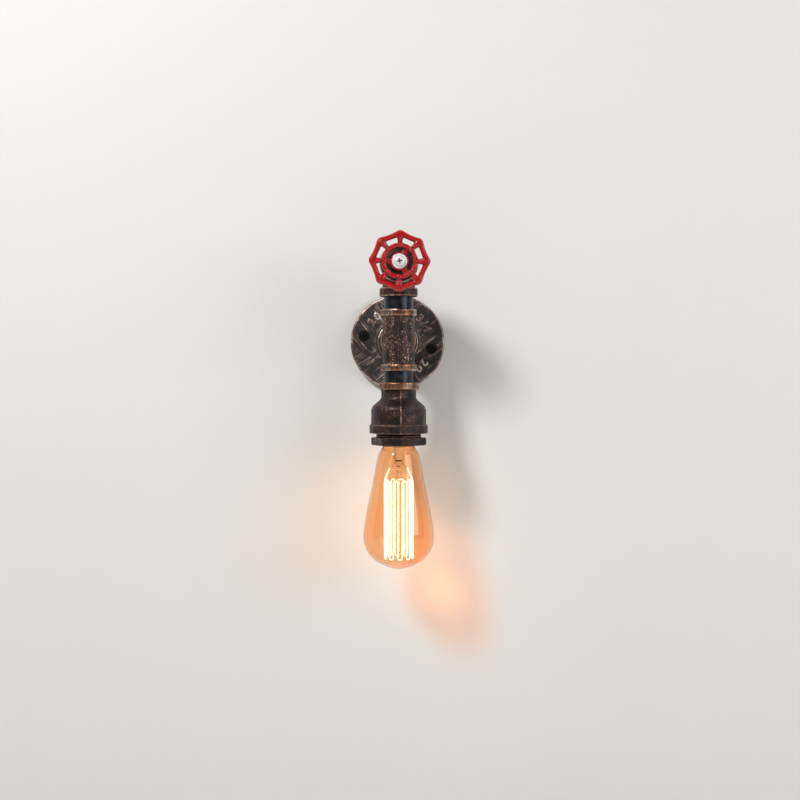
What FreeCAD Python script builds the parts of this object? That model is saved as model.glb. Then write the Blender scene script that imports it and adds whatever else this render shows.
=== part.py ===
import FreeCAD, Part
import math
import os
from FreeCAD import Vector

# Wall light made of three-quarter inch pipe fittings, with a valve handwheel on
# top and a long tear-shaped filament bulb below.  Millimetres and degrees.
# The origin is the centre of the wall flange's back face, +Z is up and the
# light stands out from the wall toward -Y.

# ---------------------------------------------------------------- driving sizes
# Clearances shared by the pieces
THREAD_CLEARANCE = 0.15      # radial, between a screwed pipe and its socket
RUNNING_CLEARANCE = 0.05     # radial, between the wheel's stem and its bore
FREE_CLEARANCE = 0.3         # between pieces that pass each other
SMALL_CLEARANCE = 0.1        # between small pieces that lie in each other

# Pipe and fittings
PIPE_OUTER = 26.4
PIPE_BORE = 21.0
PIPE_STANDOFF = 64.0         # wall to the axis of the upright pipe
SOCKET_DEPTH = 13.0
FITTING_BODY = 29.5
BAND_DIAMETER = 34.8
BAND_WIDTH = 8.0
TEE_BAND = 33.0
TEE_BAND_WIDTH = 6.4
TEE_BRANCH_BODY = 29.0
TEE_BRANCH_BORE = 20.4
BAND_ROUND = 0.9
TEE_REACH = 28.1             # centre of the tee to each of its ends
ELBOW_REACH = 28.0
ELBOW_BEND = 15.0            # radius of the elbow's centre line
UPPER_PIPE_SHOWN = 11.4      # bare pipe between tee and elbow
LOWER_PIPE_SHOWN = 10.3      # bare pipe between tee and reducer

# Wall flange
FLANGE_DIAMETER = 89.5
FLANGE_THICKNESS = 7.5
FLANGE_EDGE = 1.6            # rounding of the rim
FLANGE_HUB_DIAMETER = 38.5
FLANGE_HEIGHT = 18.0         # back face to the end of the hub
FLANGE_ROOT = 3.0            # fillet at the foot of the hub
RECESS_DIAMETER = 50.0
RECESS_DEPTH = 4.0
SCREW_CIRCLE = 64.0
SCREW_HOLES = 4
SCREW_HOLE = 6.6
SCREW_SINK = 12.0            # diameter of the countersinks at the front face
SCREW_TURN = -10.2           # first hole, from +X toward +Z

# Wall screws
SCREW_SHANK = 4.0
SCREW_HEAD = 8.4
SCREW_BEHIND_WALL = 24.0
SCREW_SHANK_BEHIND = 6.0     # plain shank past the wall face
SCREW_CORE = 2.8
SCREW_PITCH = 2.0
SCREW_THREAD = 0.8           # height of the thread over the core
SCREW_FLANK = 0.5            # half of the thread's foot along the screw
SCREW_POINT = 4.2
SCREW_CROSS = 5.04           # span of its cross recess
CROSS_WIDTH = 0.9
CROSS_DEPTH = 1.4
SLOT_WIDTH = 0.6              # driver slots of the small screws
SLOT_DEPTH = 0.6

# Bell reducer
REDUCER_HEIGHT = 46.2
REDUCER_TOP_BAND = 36.9
REDUCER_TOP_BAND_WIDTH = 6.5
REDUCER_NECK = 29.8
REDUCER_NECK_END = 14.7
REDUCER_SHOULDER = 22.6
REDUCER_BELL = 48.2
REDUCER_LOW_BAND = 53.1
REDUCER_LOW_BAND_WIDTH = 8.1
REDUCER_STOP = 2.0           # length of the narrow throat
REDUCER_CAVITY = 40.6
REDUCER_CAVITY_START = 25.0
BUSHING_SOCKET_DEPTH = 14.0

# Hexagon bushing at the mouth
BUSHING_THREAD = 41.5
BUSHING_INSIDE = 13.0        # length screwed into the reducer
BUSHING_COLLAR = 3.7         # length of thread left bare
HEX_FLATS = 43.8
HEX_HEIGHT = 7.0
HEX_TURN = -8.6              # turn of the hexagon about the pipe axis
HEX_CHAMFER = 1.2
HEX_CHAMFER_HEIGHT = 0.72

# Porcelain lampholder, its shell and its contact
HOLDER_DEPTH = 29.5          # mouth to ceiling of the socket
HOLDER_CROWN = 4.0           # porcelain above the ceiling
HOLDER_SKIRT = 33.8
HOLDER_CONE = 8.0            # height of the tapered upper part
HOLDER_TOP = 28.0
SHELL_WALL = 0.5
SHELL_MAJOR = 26.9           # inner diameter between the beads
SHELL_MINOR = 24.9           # inner diameter over the beads
SHELL_RIM_RISE = 3.0         # edge of the shell above the mouth
SHELL_LIP_BORE = 23.0
SHELL_TURNS = 3.25
SHELL_BEAD_FOOT = 1.9
SHELL_BEAD_TOP = 0.8
LEAF_WIDTH = 5.0
LEAF_THICKNESS = 0.5
LEAF_DROP = 1.0
TERMINAL_OFFSET = 8.5
TERMINAL_SIZE = 5.0
TERMINAL_HEIGHT = 5.4
TERMINAL_SEAT = 2.0          # depth of its pocket in the porcelain
TERMINAL_SCREW = 2.2
TERMINAL_SCREW_HEAD = 3.8
TERMINAL_SCREW_HEAD_HEIGHT = 1.4
TERMINAL_STUD = 2.0

# Bracket and hollow screwed tube that carry the holder
BRACKET_LENGTH = 21.0
BRACKET_WIDTH = 9.0
BRACKET_THICKNESS = 1.2
BRACKET_RISE = 3.6
BRACKET_SCREW_OFFSET = 8.6
BRACKET_SCREW = 2.9
BRACKET_SCREW_HEAD = 4.6
BRACKET_SCREW_HEAD_HEIGHT = 1.6
BRACKET_COLLAR = 13.0
BRACKET_COLLAR_HEIGHT = 2.0
TUBE_OUTER = 10.0
TUBE_BORE = 7.0
TUBE_ABOVE_DISC = 6.0
TUBE_NUT_FLATS = 14.0
TUBE_NUT_HEIGHT = 2.5
TUBE_NUT_GAP = 0.4           # lower nut to the bracket's collar
DISC_THICKNESS = 1.5
BUSH_FLANGE = 9.4
BUSH_BORE = 5.6
BUSH_LENGTH = 4.0
BUSH_FLANGE_THICKNESS = 1.0

# Insulated leads, terminal block and earth connection
WIRE = 2.2
WIRE_SPACING = 2.7
WIRE_BEND = 7.0              # height of the bend from branch into run
WIRE_STRAIGHT = 5.0          # straight start of a lead out of the block
WIRE_GATHERED = 15.0         # from the block's front to where the two leads lie side by side
WIRE_GATHERED_RISE = 0.5
WIRE_SLACK = 0.8             # leads' bow off the pipe's axis
WIRE_OVER_TUBE = 3.0         # leads straight above the tube
WIRE_SPREAD = 0.3            # leads' way apart at the tube's lower end
WIRE_SPREAD_RISE = 2.5
WIRE_ENTRY = 5.0             # straight end of a lead before its terminal's middle
BLOCK_FRONT = 30.0           # front of the terminal block, from the wall
BLOCK_LENGTH = 16.0
BLOCK_WIDTH = 16.4
BLOCK_HEIGHT = 9.6
BLOCK_POLES = 3
BLOCK_PITCH = 5.2
BLOCK_TUBE = 4.0
BLOCK_TUBE_BORE = 2.8
BLOCK_TUBE_INSET = 0.8       # tubes' ends behind the block's faces
BLOCK_SCREW = 2.2
BLOCK_SCREW_SPACING = 8.0
BLOCK_SCREW_SUNK = 0.5
BLOCK_SLOT_WIDTH = 0.5
EARTH_ANGLE = 125.0          # place of the earth screw in the flange's recess
EARTH_RADIUS = 19.5
EARTH_SCREW = 3.9
EARTH_SCREW_HEAD = 7.4
EARTH_SCREW_HEAD_HEIGHT = 2.0
EARTH_SCREW_ROUND = 0.6
EARTH_SLOT_WIDTH = 1.0
EARTH_SLOT_DEPTH = 0.8
RING_THICKNESS = 0.8
RING_DIAMETER = 8.0
RING_TAIL = 8.5
RING_BARREL = 3.2
RING_NECK = 2.56

# Handwheel, stem and plug
PLUG_COLLAR = 24.0
PLUG_COLLAR_WIDTH = 2.5
PLUG_BOSS = 20.0
PLUG_BOSS_LENGTH = 4.5
PLUG_SCREWED = 12.0
STEM_DIAMETER = 8.0
STEM_COLLAR = 12.0
STEM_COLLAR_WIDTH = 3.0
STEM_SQUARE = 6.0
STEM_INSIDE = 3.0            # stem past the inner face of the plug
STEM_GROOVE = 6.4
CLIP_THICKNESS = 0.8
CLIP_OUTER = 12.0
CLIP_MOUTH = 4.6
WHEEL_NODES = 8
WHEEL_TURN = -1.5
WHEEL_NODE_RADIUS = 27.1     # centre to the tip of a node
WHEEL_NODE_ROUND = 4.6
WHEEL_VALLEY = 25.0
WHEEL_RIM_WIDTH = 4.1
WHEEL_RIM_DEPTH = 6.4
WHEEL_RIM_ROUND = 1.5
WHEEL_SPOKE = 4.2
WHEEL_SPOKE_DEPTH = 4.6
WHEEL_RING_OUTER = 16.5
WHEEL_RING_INNER = 12.6
WHEEL_RING_DEPTH = 5.4
WHEEL_ARMS = 3
WHEEL_ARM = 4.4
WHEEL_ARM_DEPTH = 4.6
WHEEL_ARM_SET_BACK = 0.3     # arms' front behind the hub's front face
WHEEL_HUB = 16.0
WHEEL_HUB_DEPTH = 9.0
WHEEL_RIM_FORWARD = 1.5      # rim's middle in front of the hub's front face
WASHER_DIAMETER = 13.2
WASHER_THICKNESS = 1.0
WASHER_ROUND = 0.3
WHEEL_SCREW = 4.0
WHEEL_SCREW_LENGTH = 9.0
WHEEL_SCREW_HEAD = 9.2
WHEEL_SCREW_HEAD_HEIGHT = 2.6
WHEEL_SCREW_ROUND = 1.56
WHEEL_CROSS = 5.06           # span of its cross recess
WHEEL_CROSS_TURN = 12.0

# Bulb with a screwed cap; one turn lowers it by the pitch
THREAD_PITCH = 25.4 / 7.0
CAP_ROOT = 24.3
CAP_CREST = 26.3
CAP_WALL = 0.4
CAP_TURNS = 3.5
CAP_RIDGE_FOOT = 2.2
CAP_RIDGE_TOP = 0.9
CAP_SKIRT_SLOPE = 1.0
CAP_THREAD_START = 20.2      # lowest turn's middle, from the contact's tip
CAP_SKIRT = 26.1
CAP_SKIRT_START = 21.4
CAP_HEIGHT = 27.2
TIP_DIAMETER = 6.4
TIP_HEIGHT = 1.4
TIP_ROUND = 0.98
INSULATOR_TOP = 9.0
INSULATOR_LOW = 17.0
INSULATOR_HEIGHT = 3.0
CAP_SHOULDER = 2.0
GLASS_WALL = 1.0
GLASS_NECK = 24.8            # diameter inside the cap's skirt
GLASS_NECK_INSIDE = 4.5     # length of neck inside the cap
GLASS_LENGTH = 113.7         # cap's edge to the bottom of the glass
GLASS_FLARE_START = 1.0      # above the cap's edge
# (distance below the cap's edge, radius) of the glass's upper part
GLASS_UPPER = ((1.6, 13.9), (9.7, 18.7), (27.7, 22.3), (45.7, 25.9))
# (distance above the glass's bottom, radius) of its lower part
GLASS_LOWER = ((50.1, 29.6), (32.0, 32.0), (23.0, 31.3), (14.0, 27.4), (6.2, 18.9))

# Glass stem, leads, hooks and filament inside the bulb
MOUNT_TUBE = 10.0
MOUNT_PINCH_START = 13.0     # below the cap's edge
MOUNT_PINCH = 6.0
MOUNT_PINCH_END = 19.0
MOUNT_PINCH_FLAT = 3.0       # straight part of the pinch
MOUNT_PINCH_TAPER = 2.0
MOUNT_FLARE = 8.0            # height over which the tube widens to its flare
MOUNT_FLARE_EDGE = 1.0
MOUNT_ROD = 2.6
MOUNT_BUTTON = 5.0
MOUNT_BUTTON_FLAT = 1.5
MOUNT_BUTTON_SLOPE = 1.0
MOUNT_BUTTON_START = 4.0     # upper button below the pinch's end
MOUNT_END_SLOPE = 0.5
MOUNT_RISE = 12.7            # rod's end above the glass's bottom
CAGE_RADIUS = 12.9
CAGE_TOP = 33.0              # below the cap's edge
CAGE_RISE = 9.7              # cage's end above the glass's bottom
STRANDS = 20                 # half of them on each side, between the same two leads
STRAND_WIRE = 0.7
CAGE_TURN = 4.5              # turn of the first strand past half a step
HOOK_WIRE = 0.5
LEAD_WIRE = 0.8
LEAD_FOOT = 2.0
LEAD_REACH = 8.0
LEAD_RISE = 2.5              # foot of a lead above the pinch's end
LEAD_DROP = 3.0              # clamped end of a lead below the pinch's end
UPPER_HOOK_START = 5.75      # below the pinch's end
LOWER_HOOK_RISE = 1.2        # above the rod's end
HOOK_PAST = 0.4              # hooks' ends past the cage's turns

# ------------------------------------------------------------ places worked out
PIPE_Y = -PIPE_STANDOFF
PIPE_RADIUS = PIPE_OUTER / 2
BORE_RADIUS = PIPE_BORE / 2
SOCKET_RADIUS = PIPE_RADIUS + THREAD_CLEARANCE
SOCKET_END_GAP = 0.5         # pipe's end to the floor of its socket
ELBOW_BOTTOM = TEE_REACH + UPPER_PIPE_SHOWN
WHEEL_Z = ELBOW_BOTTOM + ELBOW_REACH
ELBOW_FRONT = PIPE_Y - ELBOW_REACH
REDUCER_TOP = -(TEE_REACH + LOWER_PIPE_SHOWN)
REDUCER_SEAT = REDUCER_TOP - SOCKET_DEPTH
REDUCER_BOTTOM = REDUCER_TOP - REDUCER_HEIGHT
HEX_TOP = REDUCER_BOTTOM - BUSHING_COLLAR
HEX_BOTTOM = HEX_TOP - HEX_HEIGHT
BRACKET_TOP = REDUCER_SEAT - TUBE_NUT_HEIGHT - TUBE_NUT_GAP - BRACKET_COLLAR_HEIGHT
HOLDER_CROWN_Z = BRACKET_TOP - BRACKET_THICKNESS - BRACKET_RISE
HOLDER_CEILING = HOLDER_CROWN_Z - HOLDER_CROWN
HOLDER_MOUTH = HOLDER_CEILING - HOLDER_DEPTH
TIP_Z = HOLDER_CEILING - LEAF_THICKNESS - LEAF_DROP - FREE_CLEARANCE
CAP_EDGE = TIP_Z - CAP_HEIGHT
PINCH_END = CAP_EDGE - MOUNT_PINCH_END
GLASS_BOTTOM = CAP_EDGE - GLASS_LENGTH
MOUNT_LOW = GLASS_BOTTOM + MOUNT_RISE
CAGE_HIGH = CAP_EDGE - CAGE_TOP
CAGE_LOW = GLASS_BOTTOM + CAGE_RISE
PLUG_FACE = ELBOW_FRONT - PLUG_COLLAR_WIDTH - PLUG_BOSS_LENGTH
STEM_COLLAR_FRONT = PLUG_FACE - FREE_CLEARANCE - STEM_COLLAR_WIDTH
HUB_FRONT = STEM_COLLAR_FRONT - WHEEL_HUB_DEPTH
BLOCK_Z = -math.sqrt((BORE_RADIUS - FREE_CLEARANCE) ** 2 - (BLOCK_WIDTH / 2) ** 2)


# ---------------------------------------------------------------------- helpers
def upright(radius, low, high, x=0.0, y=PIPE_Y):
    """Cylinder along Z between two heights."""
    return Part.makeCylinder(radius, high - low, Vector(x, y, low))


def level(radius, front, back, x=0.0, z=0.0):
    """Cylinder along Y between two depths."""
    return Part.makeCylinder(radius, back - front, Vector(x, front, z), Vector(0, 1, 0))


def block(x_range, y_range, z_range):
    """Box between two corners."""
    size = [high - low for low, high in (x_range, y_range, z_range)]
    return Part.makeBox(size[0], size[1], size[2], Vector(x_range[0], y_range[0], z_range[0]))


def turned_upright(profile, x=0.0, y=PIPE_Y):
    """Solid turned about Z from (radius, height) points."""
    points = [Vector(x + radius, y, height) for radius, height in profile]
    face = Part.Face(Part.makePolygon(points + points[:1]))
    return face.revolve(Vector(x, y, 0), Vector(0, 0, 1), 360)


def turned_level(profile, x=0.0, z=0.0):
    """Solid turned about Y from (radius, depth) points."""
    points = [Vector(x + radius, depth, z) for radius, depth in profile]
    face = Part.Face(Part.makePolygon(points + points[:1]))
    return face.revolve(Vector(x, 0, z), Vector(0, 1, 0), 360)


def prism(points, direction):
    """Solid swept straight from a flat polygon."""
    return Part.Face(Part.makePolygon(points + points[:1])).extrude(direction)


def hexagon(flats, low, high, turn=0.0, x=0.0, y=PIPE_Y):
    """Upright hexagonal prism across its flats."""
    reach = flats / 2 / math.cos(math.radians(30))
    corners = []
    for index in range(6):
        angle = math.radians(60 * index + turn)
        corners.append(Vector(x + reach * math.cos(angle), y + reach * math.sin(angle), low))
    return prism(corners, Vector(0, 0, high - low))


def joined(first, *others):
    """One solid from several that meet."""
    return first.fuse(list(others)).removeSplitter()


def rounded(solid, radius, choose):
    """Solid with the chosen edges rounded."""
    return solid.makeFillet(radius, [edge for edge in solid.Edges if choose(edge)])


def circle_edge_at(radius, axis, place):
    """Test for a full circular edge of one radius at one place along an axis."""
    def test(edge):
        centre = edge.Curve.Center if isinstance(edge.Curve, Part.Circle) else None
        if centre is None:
            return False
        return abs(edge.Curve.Radius - radius) < 0.01 and abs(centre[axis] - place) < 0.01
    return test


def helical_ridge(root, crest, low, turns, root_width, crest_width):
    """Thread ridge about Z, from its root radius to its crest radius."""
    helix = Part.makeHelix(THREAD_PITCH, THREAD_PITCH * turns, root)
    corners = [Vector(root, 0, -root_width / 2), Vector(crest, 0, -crest_width / 2),
               Vector(crest, 0, crest_width / 2), Vector(root, 0, root_width / 2)]
    outline = Part.makePolygon(corners + corners[:1])
    ridge = Part.Wire(helix).makePipeShell([outline], True, True)
    ridge.translate(Vector(0, PIPE_Y, low))
    return ridge


def cross_slot(width, span, front, depth, x, z, turn=0.0):
    """Tapered cross for a screwdriver, cut from the front along +Y."""
    arms = []
    for angle in (0.0, 90.0):
        outer = [Vector(-span / 2, 0, -width / 2), Vector(span / 2, 0, -width / 2),
                 Vector(span / 2, 0, width / 2), Vector(-span / 2, 0, width / 2)]
        inner = [Vector(p.x / 3, depth, p.z * 0.7) for p in outer]
        wires = [Part.makePolygon(ring + ring[:1]) for ring in (outer, inner)]
        arm = Part.makeLoft(wires, True, True)
        arm.rotate(Vector(0, 0, 0), Vector(0, 1, 0), angle + turn)
        arms.append(arm)
    cross = arms[0].fuse(arms[1])
    cross.translate(Vector(x, front, z))
    return cross


def routed_wire(points, diameter, name=""):
    """Round wire along straight runs joined by tangent arcs.

    Each arc's radius is 0.45 of the shorter run beside it, over the tangent of
    half the turn.
    """
    edges = []
    radii = []
    start = points[0]
    for before, here, after in zip(points, points[1:], points[2:]):
        into = (here - before).normalize()
        out = (after - here).normalize()
        turn = math.acos(max(-1.0, min(1.0, into.dot(out))))
        trim = 0.45 * min((here - before).Length, (after - here).Length)
        radii.append(trim / math.tan(turn / 2))
        first = here - into * trim
        last = here + out * trim
        bisector = (out - into).normalize()
        middle = here + bisector * (radii[-1] / math.cos(turn / 2) - radii[-1])
        edges.append(Part.LineSegment(start, first).toShape())
        edges.append(Part.Arc(first, middle, last).toShape())
        start = last
    edges.append(Part.LineSegment(start, points[-1]).toShape())
    path = Part.Wire(edges)
    direction = (points[1] - points[0]).normalize()
    section = Part.Wire([Part.makeCircle(diameter / 2, points[0], direction)])
    wire = path.makePipeShell([section], True, False)
    if name:
        expected = math.pi * diameter ** 2 / 4 * path.Length
        print(name, "length %.1f mm, radii" % path.Length, ["%.1f" % r for r in radii],
              "volume ratio %.4f" % (wire.Volume / expected))
    return wire


# ---------------------------------------------------------------- pipe fittings
def band_upright(low, high, diameter):
    """Raised ring at the end of a fitting on the upright pipe."""
    ring = upright(diameter / 2, low, high)
    return ring.makeFillet(BAND_ROUND, [edge for edge in ring.Edges
                                        if isinstance(edge.Curve, Part.Circle)])


def band_level(front, back, diameter, z=0.0):
    """Raised ring at the end of a fitting on a level pipe."""
    ring = level(diameter / 2, front, back, z=z)
    return ring.makeFillet(BAND_ROUND, [edge for edge in ring.Edges
                                        if isinstance(edge.Curve, Part.Circle)])


def pipe(outer, bore, low, high):
    """Upright length of pipe."""
    return upright(outer / 2, low, high).cut(upright(bore / 2, low, high))


def make_tee():
    """Tee with its run upright and its branch toward the wall."""
    branch_end = PIPE_Y + TEE_REACH
    body = joined(upright(FITTING_BODY / 2, -TEE_REACH, TEE_REACH),
                  level(TEE_BRANCH_BODY / 2, PIPE_Y, branch_end),
                  band_upright(-TEE_REACH, -TEE_REACH + TEE_BAND_WIDTH, TEE_BAND),
                  band_upright(TEE_REACH - TEE_BAND_WIDTH, TEE_REACH, TEE_BAND),
                  band_level(branch_end - TEE_BAND_WIDTH, branch_end, TEE_BAND))
    for cutter in (upright(BORE_RADIUS, -TEE_REACH, TEE_REACH),
                   level(TEE_BRANCH_BORE / 2, PIPE_Y, branch_end),
                   upright(SOCKET_RADIUS, -TEE_REACH, -TEE_REACH + SOCKET_DEPTH),
                   upright(SOCKET_RADIUS, TEE_REACH - SOCKET_DEPTH, TEE_REACH),
                   level(SOCKET_RADIUS, branch_end - SOCKET_DEPTH, branch_end)):
        body = body.cut(cutter)
    return body


def elbow_core(radius, low, front):
    """Upright leg, quarter bend and level leg of one radius."""
    bend_z = WHEEL_Z - ELBOW_BEND
    bend_y = PIPE_Y - ELBOW_BEND
    disc = Part.Face(Part.Wire([Part.makeCircle(radius, Vector(0, PIPE_Y, bend_z))]))
    bend = disc.revolve(Vector(0, bend_y, bend_z), Vector(1, 0, 0), 90)
    return joined(upright(radius, low, bend_z), bend, level(radius, front, bend_y, z=WHEEL_Z))


def make_elbow():
    """Elbow from the upright pipe forward to the wheel's plug."""
    body = joined(elbow_core(FITTING_BODY / 2, ELBOW_BOTTOM, ELBOW_FRONT),
                  band_upright(ELBOW_BOTTOM, ELBOW_BOTTOM + BAND_WIDTH, BAND_DIAMETER),
                  band_level(ELBOW_FRONT, ELBOW_FRONT + BAND_WIDTH, BAND_DIAMETER, WHEEL_Z))
    body = body.cut(elbow_core(BORE_RADIUS, ELBOW_BOTTOM, ELBOW_FRONT))
    body = body.cut(upright(SOCKET_RADIUS, ELBOW_BOTTOM, ELBOW_BOTTOM + SOCKET_DEPTH))
    return body.cut(level(SOCKET_RADIUS, ELBOW_FRONT, ELBOW_FRONT + SOCKET_DEPTH, z=WHEEL_Z))


def make_branch_nipple():
    """Short pipe from the wall flange to the tee."""
    back = -(RECESS_DEPTH + SOCKET_END_GAP)
    front = PIPE_Y + TEE_REACH - SOCKET_DEPTH + SOCKET_END_GAP
    return level(PIPE_RADIUS, front, back).cut(level(BORE_RADIUS, front, back))


def make_upper_nipple():
    """Short pipe from the tee up to the elbow."""
    reach = SOCKET_DEPTH - SOCKET_END_GAP
    return pipe(PIPE_OUTER, PIPE_BORE, TEE_REACH - reach, ELBOW_BOTTOM + reach)


def make_lower_nipple():
    """Short pipe from the tee down onto the support disc in the reducer."""
    return pipe(PIPE_OUTER, PIPE_BORE, REDUCER_SEAT + DISC_THICKNESS,
                -TEE_REACH + SOCKET_DEPTH - SOCKET_END_GAP)


def make_reducer():
    """Bell-shaped reducer, narrow end up."""
    top = REDUCER_TOP
    socket = BUSHING_THREAD / 2 + THREAD_CLEARANCE
    body = turned_upright([(0, top), (REDUCER_NECK / 2, top),
                           (REDUCER_NECK / 2, top - REDUCER_NECK_END),
                           (REDUCER_BELL / 2, top - REDUCER_SHOULDER),
                           (REDUCER_BELL / 2, REDUCER_BOTTOM), (0, REDUCER_BOTTOM)])
    shoulder = circle_edge_at(REDUCER_BELL / 2, 2, top - REDUCER_SHOULDER)
    body = rounded(body, 2 * BAND_ROUND, shoulder)
    body = joined(body, band_upright(top - REDUCER_TOP_BAND_WIDTH, top, REDUCER_TOP_BAND),
                  band_upright(REDUCER_BOTTOM, REDUCER_BOTTOM + REDUCER_LOW_BAND_WIDTH,
                               REDUCER_LOW_BAND))
    throat_end = REDUCER_SEAT - REDUCER_STOP
    cavity_start = top - REDUCER_CAVITY_START
    socket_start = REDUCER_BOTTOM + BUSHING_SOCKET_DEPTH
    bore = turned_upright([(0, top), (SOCKET_RADIUS, top), (SOCKET_RADIUS, REDUCER_SEAT),
                           (BORE_RADIUS, REDUCER_SEAT), (BORE_RADIUS, throat_end),
                           (REDUCER_CAVITY / 2, cavity_start),
                           (REDUCER_CAVITY / 2, socket_start), (socket, socket_start),
                           (socket, REDUCER_BOTTOM), (0, REDUCER_BOTTOM)])
    return body.cut(bore)


def make_bushing():
    """Hexagon bushing that closes the reducer round the lampholder."""
    screwed = upright(BUSHING_THREAD / 2, HEX_TOP, REDUCER_BOTTOM + BUSHING_INSIDE)
    nut = hexagon(HEX_FLATS, HEX_BOTTOM, HEX_TOP, HEX_TURN)
    reach = HEX_FLATS / 2 / math.cos(math.radians(30))
    chamfered = turned_upright([(0, HEX_BOTTOM), (reach - HEX_CHAMFER, HEX_BOTTOM),
                                (reach, HEX_BOTTOM + HEX_CHAMFER_HEIGHT),
                                (reach, HEX_TOP - HEX_CHAMFER_HEIGHT),
                                (reach - HEX_CHAMFER, HEX_TOP), (0, HEX_TOP)])
    body = joined(nut.common(chamfered), screwed)
    bore = HOLDER_SKIRT / 2 + FREE_CLEARANCE
    return body.cut(upright(bore, HEX_BOTTOM, REDUCER_BOTTOM + BUSHING_INSIDE))


# ---------------------------------------------------------- flange and fastenings
def screw_places(count):
    """Centres of the first wall screw holes on their circle, as (x, z)."""
    places = []
    for index in range(count):
        angle = math.radians(SCREW_TURN + index * 360.0 / count)
        places.append((SCREW_CIRCLE / 2 * math.cos(angle), SCREW_CIRCLE / 2 * math.sin(angle)))
    return places


def earth_place():
    """Centre of the earth screw, as (x, z)."""
    angle = math.radians(EARTH_ANGLE)
    return EARTH_RADIUS * math.cos(angle), EARTH_RADIUS * math.sin(angle)


def make_flange():
    """Round floor flange used as the wall plate."""
    plate = level(FLANGE_DIAMETER / 2, -FLANGE_THICKNESS, 0)
    plate = rounded(plate, FLANGE_EDGE,
                    circle_edge_at(FLANGE_DIAMETER / 2, 1, -FLANGE_THICKNESS))
    hub = level(FLANGE_HUB_DIAMETER / 2, -FLANGE_HEIGHT, -FLANGE_THICKNESS)
    hub = rounded(hub, BAND_ROUND, circle_edge_at(FLANGE_HUB_DIAMETER / 2, 1, -FLANGE_HEIGHT))
    body = joined(plate, hub)
    body = rounded(body, FLANGE_ROOT,
                   circle_edge_at(FLANGE_HUB_DIAMETER / 2, 1, -FLANGE_THICKNESS))
    body = body.cut(level(RECESS_DIAMETER / 2, -RECESS_DEPTH, 0))
    body = body.cut(level(SOCKET_RADIUS, -FLANGE_HEIGHT, 0))
    sink = (SCREW_SINK - SCREW_HOLE) / 2
    for x, z in screw_places(SCREW_HOLES):
        hole = turned_level([(0, -FLANGE_THICKNESS), (SCREW_SINK / 2, -FLANGE_THICKNESS),
                             (SCREW_HOLE / 2, -FLANGE_THICKNESS + sink),
                             (SCREW_HOLE / 2, 0), (0, 0)], x, z)
        body = body.cut(hole)
    x, z = earth_place()
    depth = -(FLANGE_THICKNESS - SOCKET_END_GAP)
    return body.cut(level(EARTH_SCREW / 2 + SMALL_CLEARANCE, depth, -RECESS_DEPTH, x, z))


def make_wall_screw(x, z):
    """Countersunk wood screw with a cross recess, as it sits in the flange."""
    sink = (SCREW_SINK - SCREW_HOLE) / 2
    slope = (SCREW_HEAD - SCREW_SHANK) / 2
    seat = -FLANGE_THICKNESS + sink * (SCREW_SINK - SCREW_HEAD) / (SCREW_SINK - SCREW_HOLE)
    front = seat - FREE_CLEARANCE
    shank_end = SCREW_SHANK_BEHIND
    core = SCREW_CORE / 2
    tip = SCREW_BEHIND_WALL
    body = turned_level([(0, front), (SCREW_HEAD / 2, front),
                         (SCREW_SHANK / 2, front + slope + SMALL_CLEARANCE),
                         (SCREW_SHANK / 2, shank_end), (core, shank_end + SCREW_FLANK),
                         (core, tip - SCREW_POINT), (0, tip)], x, z)
    turns = int((tip - SCREW_POINT - shank_end) / SCREW_PITCH) - 1
    for index in range(turns):
        low = shank_end + SCREW_PITCH * (index + 1)
        high = low + 2 * SCREW_FLANK
        body = body.fuse(turned_level([(0, low), (core, low),
                                       (core + SCREW_THREAD, low + SCREW_FLANK),
                                       (core, high), (0, high)], x, z))
    cross = cross_slot(CROSS_WIDTH, SCREW_CROSS, front, CROSS_DEPTH, x, z, SCREW_TURN)
    return body.removeSplitter().cut(cross)


def make_wall_screws():
    """The two screws that hold the light, on opposite sides of the pipe."""
    places = screw_places(SCREW_HOLES)
    return Part.makeCompound([make_wall_screw(*places[index]) for index in (0, 2)])


# -------------------------------------------------------------------- handwheel
def wheel_outline(inset, depth):
    """Flat face of the wheel's outline: rounded nodes joined by hollow arcs."""
    node_round = WHEEL_NODE_ROUND - inset
    node_centre = WHEEL_NODE_RADIUS - WHEEL_NODE_ROUND
    half = math.pi / WHEEL_NODES
    valley = WHEEL_VALLEY - inset
    # the hollow arc's centre lies outside the wheel, half way between two nodes
    side = node_centre * math.cos(half)
    across = node_centre * math.sin(half)
    past = valley - side
    hollow = (past ** 2 + across ** 2 - node_round ** 2) / (2 * (node_round - past))
    edges = []
    for index in range(WHEEL_NODES):
        angle = math.radians(90 + WHEEL_TURN) + 2 * half * index
        node = Vector(node_centre * math.cos(angle), depth, node_centre * math.sin(angle))
        tip = node + Vector(math.cos(angle), 0, math.sin(angle)) * node_round
        touches = []
        for sign in (-1, 1):
            away = angle + sign * half
            centre_reach = valley + hollow
            centre = Vector(centre_reach * math.cos(away), depth, centre_reach * math.sin(away))
            touches.append(node + (centre - node).normalize() * node_round)
        edges.append(Part.Arc(touches[0], tip, touches[1]).toShape())
        away = angle + half
        low = Vector(valley * math.cos(away), depth, valley * math.sin(away))
        ahead = angle + 2 * half
        next_node = Vector(node_centre * math.cos(ahead), depth, node_centre * math.sin(ahead))
        centre_reach = valley + hollow
        centre = Vector(centre_reach * math.cos(away), depth, centre_reach * math.sin(away))
        next_touch = next_node + (centre - next_node).normalize() * node_round
        edges.append(Part.Arc(touches[1], low, next_touch).toShape())
    outline = Part.Face(Part.Wire(edges))
    return outline


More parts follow.
